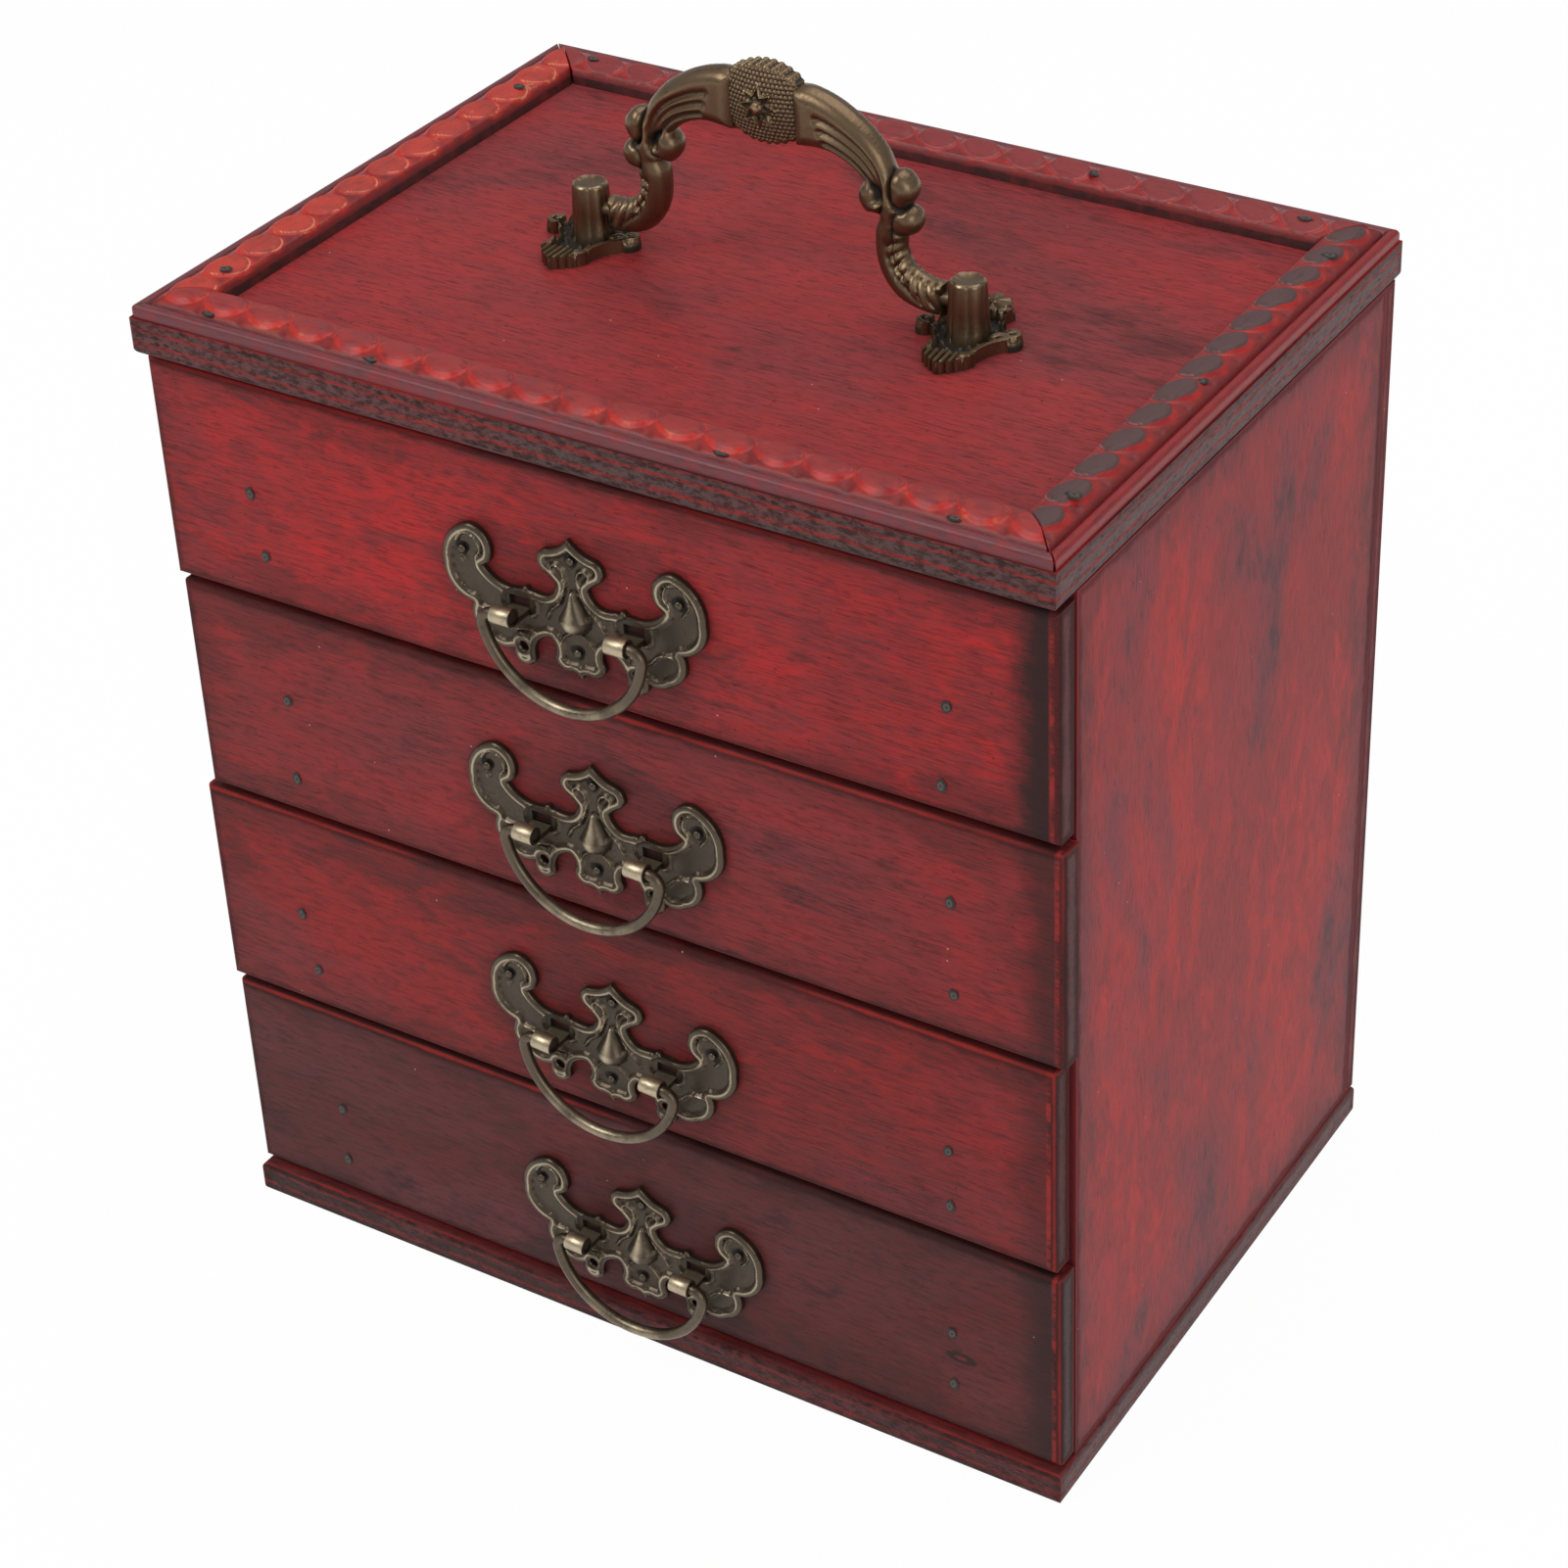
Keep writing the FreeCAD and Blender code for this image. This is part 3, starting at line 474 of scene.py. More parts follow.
    def show_pull_shade_and_dirt(self, recipe: Recipe, colour: Wire, fray: Wire) -> Wire:
        """Lay painted shade in the windows over the pull's barrels, and a thin halo of painted contact
        shadow and dirt round its plate.

        Args:
            recipe: Material under way.
            colour: Colour so far.
            fray: Noise about 0.5 that makes it ragged.

        Returns:
            The colour with the dirt.
        """
        place = recipe.place()
        across = (recipe.axis(place, 0) - self.pull[0]) / MM
        up = (recipe.axis(place, 2) - self.pull[1]) / MM
        # thin halo round the plate: painted contact shadow, with some dirt
        wide = ((across / 37) ** 2 + ((up - 1) / 21) ** 2 + (fray - 0.5) * 1.6).rise(1.1, 0.3)
        # dark patch in each window over a barrel: painted shade
        window = (((abs(across) - 12.9) / 4) ** 2 + (up / 2.6) ** 2).rise(1.6, 0.8)
        return recipe.coats(colour, (wide * 0.42, self.dark), (window * 0.93, self.dark))

    def show_knot(self, recipe: Recipe, colour: Wire, x: float, z: float, fray: Wire) -> Wire:
        """Lay a small knot: a dark ring about a red eye.

        Args:
            recipe: Material under way.
            colour: Colour so far.
            x: Its middle across.
            z: Its height.
            fray: Noise that makes it ragged.

        Returns:
            The colour with the knot.
        """
        place = recipe.place()
        across = (recipe.axis(place, 0) - x) / (4.0 * MM)
        up = (recipe.axis(place, 2) - z) / (1.5 * MM)
        reach = (across * across + up * up) ** 0.5 + (fray - 0.5) * 0.9
        ring = reach.rise(0.35, 0.6) * reach.rise(1.15, 0.85)
        return recipe.coats(colour, (reach.rise(0.6, 0.3) * 0.6, self.red), (ring * 0.9, self.dark))


@dataclass(frozen=True)
class Plywood(StainedWood):
    """Stained plywood panel whose upright edges show pitted dark plies between torn red ones."""

    layers: tuple[tuple[float, float], ...] = ((0.3, 0.4), (0.68, 0.78), (0.95, 1.0))

    def board(self, name: str, box: tuple[Vector, Vector], grain: Grain, seed: float) -> bpy.types.Material:
        """Make the finish of one panel; the arguments are those of a plain board."""
        material = super().board(name, box, grain, seed)
        recipe = Recipe.reopen(material)
        shader = recipe.output.inputs["Surface"].links[0].from_node
        colour = Wire(recipe, shader.inputs["Base Color"].links[0].from_socket)
        low, high = box[0][2], box[1][2]
        upright = recipe.facing()
        side = abs(recipe.axis(upright, 2)).rise(0.8, 0.5)
        shift = (seed, seed * 0.7, seed * 1.3)
        torn = recipe.noise(recipe.place((0.16, 0.16, 1), shift), 300, 5, 0.68)
        pitted = recipe.noise(recipe.place((0.45, 0.45, 1), shift), 1000, 4, 0.72)
        pits = recipe.specks(recipe.place((0.5, 0.5, 1), shift), 700, 0.36)
        veil = recipe.noise(recipe.place((0.3, 0.3, 1), shift), 60, 3, 0.6)
        level = (recipe.axis(recipe.place(), 2) - low) / (high - low) + (torn - 0.5) * 0.36
        glued = recipe.coats(
            self.ply,
            (veil.rise(0.45, 0.62) * 0.5, self.dull),
            (pitted.rise(0.42, 0.6) * 0.8, self.dark),
            (recipe.axis(upright, 0).rise(0.6, 0.8) * 0.6, self.bare),
            ((pits * 0.9).most(pitted.rise(0.6, 0.66)), self.dark),
        )
        red = recipe.mix(pitted.rise(0.42, 0.62) * 0.75, self.ply_red, self.dark)
        bands = 0.0
        for start, end in self.layers:
            bands = level.rise(start - 0.03, start + 0.03) * level.rise(end + 0.03, end - 0.03) + bands
        edge = recipe.mix(bands, glued, red)
        edge = recipe.mix(level.rise(0.12, 0.02) * 0.6, edge, self.bare)
        wanted = recipe.mix(side * 0.92, colour, edge)
        recipe.tree.links.new(wanted.socket, shader.inputs["Base Color"])
        grit = recipe.bump(pitted * side, 0.5 * MM, 0.8)
        old = shader.inputs["Normal"].links[0].from_socket
        recipe.tree.links.new(old, grit.socket.node.inputs["Normal"])
        recipe.tree.links.new(grit.socket, shader.inputs["Normal"])
        return material


@dataclass(frozen=True)
class AgedBronze:
    """Cast metal, dark in its hollows and rubbed to brass where it stands proud."""

    deep: Paint = paint(24, 20, 17)
    body: Paint = paint(86, 75, 63)
    brass: Paint = paint(192, 176, 148)
    shine: float = 0.34

    def build(self, name: str, rubbed: float = 0.5) -> bpy.types.Material:
        """Make the finish.

        Args:
            name: Name of the material.
            rubbed: How much brass shows, from 0 to 1.

        Returns:
            The material.
        """
        recipe = Recipe(name)
        plain = recipe.place()
        relief = recipe.stored(RELIEF)
        fine = recipe.noise(plain, 1500, 4, 0.65)
        broad = recipe.noise(plain, 230, 3, 0.55)
        bared = relief + (fine - 0.5) * 0.2 + (broad - 0.5) * 0.4
        proud = bared.rise(1.0 - rubbed * 0.5, 1.3 - rubbed * 0.5)
        sunk = (relief + (broad - 0.5) * 0.2).rise(0.4, 0.08)
        colour = recipe.coats(
            self.body,
            (proud, self.brass),
            ((fine * 0.5 + broad * 0.5).rise(0.5, 0.66) * 0.35, self.deep),
            (sunk * 0.92, self.deep),
        )
        rough = self.shine + sunk * 0.3 + (fine - 0.5) * 0.2
        tilt = recipe.bump(fine * 0.5 + broad * 0.5, 0.12 * MM, 0.45)
        return recipe.finish(Base_Color=colour, Metallic=0.9 - sunk * 0.5, Roughness=rough, Normal=tilt)


@dataclass(frozen=True)
class NailSteel:
    """Nail heads punched flush: grey-black, with a little bare metal on top and painted shade round them.
    """

    black: Paint = paint(30, 26, 25)
    bare: Paint = paint(90, 83, 78)

    def build(self, name: str) -> bpy.types.Material:
        """Make the finish under a name."""
        recipe = Recipe(name)
        relief = recipe.stored(RELIEF)
        mottle = recipe.noise(recipe.place(), 1500, 4, 0.65)
        metal = (relief + (mottle - 0.5) * 0.9).rise(0.45, 0.85)
        colour = recipe.mix(metal, self.black, self.bare)
        tilt = recipe.bump(mottle, 0.15 * MM, 0.6)
        rough = 0.5 + mottle * 0.25
        return recipe.finish(Base_Color=colour, Metallic=metal * 0.6, Roughness=rough, Normal=tilt)


@dataclass(frozen=True)
class PlainWood:
    """Bare pale wood inside the drawers and the case."""

    light: Paint = paint(196, 160, 118)
    dark: Paint = paint(150, 112, 76)

    def build(self, name: str, grain: Grain, seed: float) -> bpy.types.Material:
        """Make the finish.

        Args:
            name: Name of the material.
            grain: Way that the fibres run.
            seed: Number that sets its own pattern apart.

        Returns:
            The material.
        """
        recipe = Recipe(name)
        along = recipe.along(grain, 0.06, (seed, seed * 1.3, seed * 0.7))
        rings = recipe.noise(along, 120, 3, 0.5, 0.8)
        fibre = recipe.noise(along, 1600, 3, 0.6)
        streaks = fibre.rise(0.5, 0.7) * 0.3
        colour = recipe.coats(self.light, (rings.rise(0.4, 0.64), self.dark), (streaks, self.dark))
        tilt = recipe.bump(fibre * 0.6 + rings * 0.4, 0.1 * MM, 0.5)
        return recipe.finish(Base_Color=colour, Roughness=0.6 + fibre * 0.15, Normal=tilt)


@dataclass(frozen=True)
class CarvedWood:
    """Stain on the carved strips, with painted light: painted highlights on the flanks, painted shade
    nearly black in the cuts, rubbed dull on top.
    """

    red: Paint = paint(146, 36, 38)
    # orange of the painted highlight on the flanks
    orange: Paint = paint(194, 44, 34)
    # cream of the painted glints
    cream: Paint = paint(226, 126, 82)
    top: Paint = paint(122, 50, 52)
    # pale painted highlight round each pillow's rim
    rim: Paint = paint(164, 84, 84)
    fascia: Paint = paint(108, 55, 60)
    dark: Paint = paint(42, 26, 25)
    # strength of the painted highlights on the flanks and of the glints
    bright: float = 0.9
    # how far the tops take their own colour: rubbed wear, and painted light where the strips' top colours
    # differ
    worn: float = 0.8

    def build(self, name: str, grain: Grain, seed: float) -> bpy.types.Material:
        """Make the finish of one strip.

        Args:
            name: Name of the material.
            grain: Way that the strip runs.
            seed: Number that sets its own pattern apart.

        Returns:
            The material.
        """
        recipe = Recipe(name)
        shift = (seed, seed * 1.9, seed * 0.6)
        plain = recipe.place((1, 1, 1), shift)
        fibre = recipe.noise(recipe.along(grain, 0.15, shift), 1500, 3, 0.6)
        blotch = recipe.noise(plain, 230, 4, 0.62)
        broad = recipe.noise(plain, 70, 2, 0.5)
        relief, tone = recipe.stored(RELIEF), recipe.stored(TONE)
        # painted highlight: orange on the flanks of the pillows
        flank = relief.rise(0.25, 0.45) * (blotch * 0.7 + broad * 0.3).rise(0.38, 0.56)
        # painted highlight: cream glints on the flanks
        glint = relief.rise(0.35, 0.5) * (blotch * 0.6 + fibre * 0.4).rise(0.56, 0.66)
        # rubbed dull tops; their colour differs from strip to strip as painted light
        dulled = tone + (blotch - 0.5) * 0.5
        # painted shade: darker at the pillows' feet
        foot = relief.rise(0.62, 0.42) * tone.rise(-0.4, -0.1)
        fascia = recipe.mix(blotch.rise(0.45, 0.65) * 0.5, self.fascia, self.red)
        # nearly black where the relief is lowest: painted shade in the groove and the cuts, and the dark
        # unpainted inner wall
        hollow = (relief + (blotch - 0.5) * 0.25).rise(0.24, 0.08)
        colour = recipe.coats(
            self.red,
            (flank * self.bright, self.orange),
            (glint * self.bright * 0.55, self.cream),
            (dulled.rise(0.45, 0.85) * self.worn, self.top),
            # painted highlight: a pale line round each pillow's rim
            (tone.rise(1.1, 1.4) * blotch.rise(0.4, 0.5) * 0.7, self.rim),
            (foot * 0.45, self.dark),
            (tone.rise(-0.3, -0.7), fascia),
            (hollow * 0.92, self.dark),
            (fibre.rise(0.5, 0.7) * 0.3, self.dark),
        )
        rough = 0.36 + dulled.rise(0.4, 0.9) * 0.15 + (blotch - 0.5) * 0.2
        tilt = recipe.bump(fibre * 0.4 + blotch * 0.6, 0.22 * MM, 0.5)
        return recipe.finish(Base_Color=colour, Roughness=rough, Normal=tilt, Specular_IOR_Level=0.3)


def columns(*parts: Spread) -> Points:
    """Set coordinates side by side as points; a number fills its whole column."""
    return np.stack(np.broadcast_arrays(*parts), axis=-1)


def full_turn(count: int) -> Points:
    """Angles all the way round, evenly apart."""
    return np.linspace(0, 2 * math.pi, count, endpoint=False)


def standing(points: Points, height: Points) -> Points:
    """Set the points of an upright face in space, with their heights towards the front."""
    return columns(points[:, 0], -height, points[:, 1])


def lying(points: Points, height: Points) -> Points:
    """Set the points of a level face in space, with their heights upwards."""
    return columns(points[:, 0], points[:, 1], height)


class Body:
    """Mesh under way: corners, faces, how proud each corner stands and its tone."""

    def __init__(self) -> None:
        """Start with nothing."""
        self.corners: list[Points] = []
        self.faces: list[tuple[int, ...]] = []
        self.relief: list[Points] = []
        self.tone: list[Points] = []
        self.count = 0

    def add(
        self, corners: Points, faces: Sequence[Sequence[int]], relief: Spread, tone: Spread = 0.0
    ) -> None:
        """Add a patch.

        Args:
            corners: Corner points, one a row.
            faces: Corner numbers of each face, counted within the patch.
            relief: How proud each corner stands, from 0 to 1.
            tone: A second value of each corner, for finishes that tell parts of a piece apart.
        """
        self.corners.append(np.asarray(corners, float))
        self.faces += [tuple(int(i) + self.count for i in face) for face in faces]
        for kept, values in ((self.relief, relief), (self.tone, tone)):
            kept.append(np.broadcast_to(np.asarray(values, float), (len(corners),)))
        self.count += len(corners)

    def grid(
        self, rows: Points, relief: Spread, tone: Spread = 0.0, around: bool = False, capped: bool = False
    ) -> None:
        """Add a surface through rows of points.

        Args:
            rows: Points of each row, rows by points by three.
            relief: How proud each point stands, a number or rows by points.
            tone: Tone of each point, likewise.
            around: Whether each row closes on itself.
            capped: Whether the first and last rows are closed over.
        """
        many, wide = rows.shape[:2]
        number = np.arange(many * wide).reshape(many, wide)
        nexts = np.roll(number, -1, axis=1) if around else number[:, 1:]
        heres = number if around else number[:, :-1]
        quads = columns(heres[:-1], nexts[:-1], nexts[1:], heres[1:]).reshape(-1, 4)
        faces = [tuple(quad) for quad in quads.tolist()]
        if capped:
            faces += [tuple(number[0][::-1].tolist()), tuple(number[-1].tolist())]
        spread = [
            np.broadcast_to(np.asarray(values, float), (many, wide)).reshape(-1)
            for values in (relief, tone)
        ]
        self.add(rows.reshape(-1, 3), faces, *spread)

    def tube(
        self, path: Sequence[Sequence[float]], radii: Spread, sides: int, relief: Spread
    ) -> None:
        """Add a round bar along a path, with closed ends.

        Args:
            path: Points of its middle line.
            radii: Its radius, or one at each point.
            sides: Number of sides.
            relief: How proud it stands, or one value a point.
        """
        path = np.asarray(path, float)
        radii = np.broadcast_to(np.asarray(radii, float), (len(path),))
        ways = np.gradient(path, axis=0)
        ways /= np.linalg.norm(ways, axis=1)[:, None]
        side = np.cross(ways[0], (0, 1, 0)) if abs(ways[0][1]) < 0.9 else np.cross(ways[0], (1, 0, 0))
        rows = []
        turns = full_turn(sides)[:, None]
        for point, way, radius in zip(path, ways, radii):
            side = side - way * (side @ way)
            side = side / np.linalg.norm(side)
            up = np.cross(way, side)
            rows.append(point + radius * (np.cos(turns) * side + np.sin(turns) * up))
        relief = np.broadcast_to(np.asarray(relief, float), (len(path),))
        self.grid(np.array(rows), np.repeat(relief[:, None], sides, axis=1), around=True, capped=True)

    def ball(
        self, centre: Sequence[float], sizes: Sequence[float], relief: float, sides: int
    ) -> None:
        """Add an egg.

        Args:
            centre: Its middle.
            sizes: Half its size along each axis.
            relief: How proud it stands.
            sides: Number of sides.
        """
        rise = np.linspace(-math.pi / 2, math.pi / 2, sides // 2 + 1)[:, None]
        turn = full_turn(sides)
        rows = columns(np.cos(rise) * np.cos(turn), np.cos(rise) * np.sin(turn), np.sin(rise))
        self.grid(rows * np.array(sizes) + np.array(centre), relief, around=True)

    def moved(self, matrix: Matrix) -> "Body":
        """Give a copy set at a place."""
        copy = Body()
        copy.join(self, matrix)
        return copy

    def join(self, other: "Body", matrix: Matrix) -> None:
        """Take in another mesh, set at a place.

        Args:
            other: The other mesh.
            matrix: Where it goes.
        """
        turn, shift = np.array(matrix.to_3x3()), np.array(matrix.translation)
        self.corners += [part @ turn.T + shift for part in other.corners]
        self.faces += [tuple(i + self.count for i in face) for face in other.faces]
        self.relief += other.relief
        self.tone += other.tone
        self.count += other.count

    def make(self, name: str, material: bpy.types.Material, sharp: float = 50) -> bpy.types.Object:
        """Turn it into an object of the scene.

        Args:
            name: Name of the piece.
            material: Its finish.
            sharp: Angle in degrees past which an edge stays sharp.

        Returns:
            The object.
        """
        mesh = bpy.data.meshes.new(name)
        mesh.from_pydata(np.vstack(self.corners).tolist(), [], self.faces)
        for label, values in ((RELIEF, self.relief), (TONE, self.tone)):
            kept = mesh.attributes.new(label, "FLOAT", "POINT")
            kept.data.foreach_set("value", np.concatenate(values).astype(np.float32))
        mesh.materials.append(material)
        shape = bmesh.new()
        shape.from_mesh(mesh)
        bmesh.ops.remove_doubles(shape, verts=shape.verts, dist=0.001 * MM)
        bmesh.ops.recalc_face_normals(shape, faces=shape.faces)
        shape.to_mesh(mesh)
        shape.free()
        mesh.polygons.foreach_set("use_smooth", [True] * len(mesh.polygons))
        mesh.set_sharp_from_angle(angle=math.radians(sharp))
        return add_object(name, mesh)


def place_on(piece: bpy.types.Object, body: str, slot: str, *nodes: str) -> None:
    """Let a piece ride on a body in place of its nodes.

    Args:
        piece: The piece.
        body: Body that carries it.
        slot: Material slot of the record; not used.
        nodes: Nodes that it stands for.
    """
    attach(piece, body)
    if nodes:
        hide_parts(*nodes)


def arc(start: Sequence[float], via: Sequence[float], end: Sequence[float], gap: float) -> Points:
    """Points along a round stretch.

    Args:
        start: Where it starts.
        via: Point on the way.
        end: Where it ends.
        gap: Space between the points.

    Returns:
        Points after the start, up to the end.
    """
    a, b, c = (np.array(p, float) for p in (start, via, end))
    twice = 2 * (a[0] * (b[1] - c[1]) + b[0] * (c[1] - a[1]) + c[0] * (a[1] - b[1]))
    if abs(twice) < 1e-9:
        steps = max(1, int(np.linalg.norm(c - a) / gap))
        return a + (c - a) * np.linspace(0, 1, steps + 1)[1:, None]
    squares = [p @ p for p in (a, b, c)]
    x = (squares[0] * (b[1] - c[1]) + squares[1] * (c[1] - a[1]) + squares[2] * (a[1] - b[1])) / twice
    y = (squares[0] * (c[0] - b[0]) + squares[1] * (a[0] - c[0]) + squares[2] * (b[0] - a[0])) / twice
    middle = np.array((x, y))
    radius = np.linalg.norm(a - middle)
    first = math.atan2(*(a - middle)[::-1])
    passed = (math.atan2(*(b - middle)[::-1]) - first) % (2 * math.pi)
    whole = (math.atan2(*(c - middle)[::-1]) - first) % (2 * math.pi)
    turn = whole if passed < whole else whole - 2 * math.pi
    steps = max(2, int(abs(turn) * radius / gap))
    angles = first + turn * np.linspace(0, 1, steps + 1)[1:]
    return middle + radius * columns(np.cos(angles), np.sin(angles))


def follow(
    start: Sequence[float], stretches: Sequence[Sequence[Sequence[float]]], gap: float
) -> Points:
    """Points along an outline of straight stretches and arcs.

    Args:
        start: First point.
        stretches: Each has its end, or a point on the way and its end.
        gap: Space between the points.

    Returns:
        The points, the first included.
    """
    points = np.array([start], float)
    for stretch in stretches:
        via = stretch[0] if len(stretch) == 2 else (points[-1] + np.array(stretch[-1])) / 2
        points = np.vstack([points, arc(points[-1], via, stretch[-1], gap)])
    return points


def curve(points: Sequence[Sequence[float]], gap: float = 0.3, count: int = 0) -> Points:
    """Smooth line through points, evenly divided.

    Args:
        points: Points that it passes.
        gap: Space between its points.
        count: Number of its points, or 0 to go by the gap.

    Returns:
        The points of the line.
    """
    knots = np.array(points, float)
    padded = np.vstack([2 * knots[0] - knots[1], knots, 2 * knots[-1] - knots[-2]])
    t = np.linspace(0, 1, 16, endpoint=False)[:, None]
    line = []
    for a, b, c, d in zip(padded, padded[1:], padded[2:], padded[3:]):
        straight = 2 * b + (c - a) * t
        square, cube = (2 * a - 5 * b + 4 * c - d) * t ** 2, (3 * b - a - 3 * c + d) * t ** 3
        line.append(0.5 * (straight + square + cube))
    line = np.vstack([*line, knots[-1:]])
    steps = np.concatenate([[0], np.cumsum(np.linalg.norm(np.diff(line, axis=0), axis=1))])
    wanted = np.linspace(0, steps[-1], count or max(2, int(steps[-1] / gap) + 1))
    return columns(*(np.interp(wanted, steps, line[:, i]) for i in range(line.shape[1])))


def beside(points: Points, line: Points) -> tuple[Points, Points]:
    """Tell how far each point lies from an open line, to the left of its run or, below 0, to its right.

    Args:
        points: The points, two columns.
        line: Points of the line.

    Returns:
        The distances, and how far along the line each is, from 0 to 1.
    """
    best, along = np.full(len(points), 1e9), np.zeros(len(points))
    steps = np.linalg.norm(np.diff(line, axis=0), axis=1)
    passed = np.concatenate([[0], np.cumsum(steps)])
    for number, (a, b) in enumerate(zip(line, line[1:])):
        way, off = b - a, points - a
        share = np.clip((off @ way) / max(way @ way, 1e-12), 0, 1)
        far = np.linalg.norm(off - share[:, None] * way, axis=1)
        side = np.sign(way[0] * off[:, 1] - way[1] * off[:, 0])
        nearer = far < np.abs(best)
        best = np.where(nearer, np.where(side < 0, -far, far), best)
        along = np.where(nearer, passed[number] + share * steps[number], along)
    return best, along / passed[-1]


def from_line(points: Points, line: Points) -> Points:
    """Distance of each point from a closed line."""
    return np.abs(beside(points, np.vstack([line, line[:1]]))[0])


def within(points: Points, line: Points) -> Points:
    """Tell which points lie inside a closed line."""
    inside = np.zeros(len(points), bool)
    for a, b in zip(line, np.roll(line, -1, axis=0)):
        if a[1] == b[1]:
            continue
        spans = (a[1] > points[:, 1]) != (b[1] > points[:, 1])
        inside ^= spans & (points[:, 0] < (b[0] - a[0]) * (points[:, 1] - a[1]) / (b[1] - a[1]) + a[0])
    return inside


def smooth(values: Points, low: float, high: float) -> Points:
    """Go smoothly from 0 at one level to 1 at another, which may be the lower one."""
    share = np.clip((values - low) / (high - low), 0, 1)
    return share * share * (3 - 2 * share)


def near(values: Points, width: float) -> Points:
    """Bell that is 1 where the values are 0 and fades over a width."""
    return np.exp(-((values / width) ** 2))


@dataclass
class Casting:
    """Flat casting: an outline with holes, and a height drawn over one face or over both alike."""

    outline: Points
    holes: list[Points]
    height: Callable[[Points, Points], tuple[Points, Points]]
    gap: float = 0.45
    two_faced: bool = False

    def build(self, body: Body, lift: Callable[[Points, Points], Points]) -> None:
        """Add the casting to a mesh.

        Args:
            body: Mesh under way.
            lift: Sets points of the face, given two by two, at their heights in space.
        """
        rings = [self.outline, *self.holes]
        flat, faces = self.divide(rings)
        depth = np.minimum.reduce([from_line(flat, ring) for ring in rings])
        height, relief = self.height(flat, depth)
        body.add(lift(flat, height), faces, relief)
        if self.two_faced:
            body.add(lift(flat, -height), faces, relief)
        else:
            body.add(lift(flat, np.zeros(len(flat))), faces, 0.2)
        for ring in rings:
            turn = [*range(len(ring)), 0]
            top, proud = self.height(ring[turn], np.zeros(len(turn)))
            low = -1 if self.two_faced else 0
            rows = np.stack([lift(ring[turn], top * share) for share in np.linspace(low, 1, 5)])
            body.grid(rows, np.broadcast_to(proud * 0.8, rows.shape[:2]))

    def divide(self, rings: list[Points]) -> tuple[Points, list[tuple[int, ...]]]:
        """Divide the face into small triangles.

        Args:
            rings: The outline and the holes.

        Returns:
            Corners and faces.
        """
        low, high = self.outline.min(0), self.outline.max(0)
        across, up = np.meshgrid(*(np.arange(low[i], high[i], self.gap) for i in range(2)))
        across = across + (np.arange(len(across)) % 2)[:, None] * self.gap / 2
        spots = columns(across.ravel(), up.ravel())
        spots = spots[within(spots, self.outline)]
        for ring in rings:
            spots = spots[from_line(spots, ring) > self.gap * 0.6]
        for hole in self.holes:
            spots = spots[~within(spots, hole)]
        edges, start = [], 0
        for ring in rings:
            edges += [(start + i, start + (i + 1) % len(ring)) for i in range(len(ring))]
            start += len(ring)
        corners = [Vector(p) for p in np.vstack([*rings, spots]).tolist()]
        flat, _, faces, *_ = delaunay_2d_cdt(corners, edges, [], 1, 1e-6)
        flat = np.array([tuple(p) for p in flat])
        middles = np.array([flat[list(face)].mean(0) for face in faces])
        solid = within(middles, self.outline)
        for hole in self.holes:
            solid &= ~within(middles, hole)
        return flat, [tuple(face) for face, stays in zip(faces, solid) if stays]


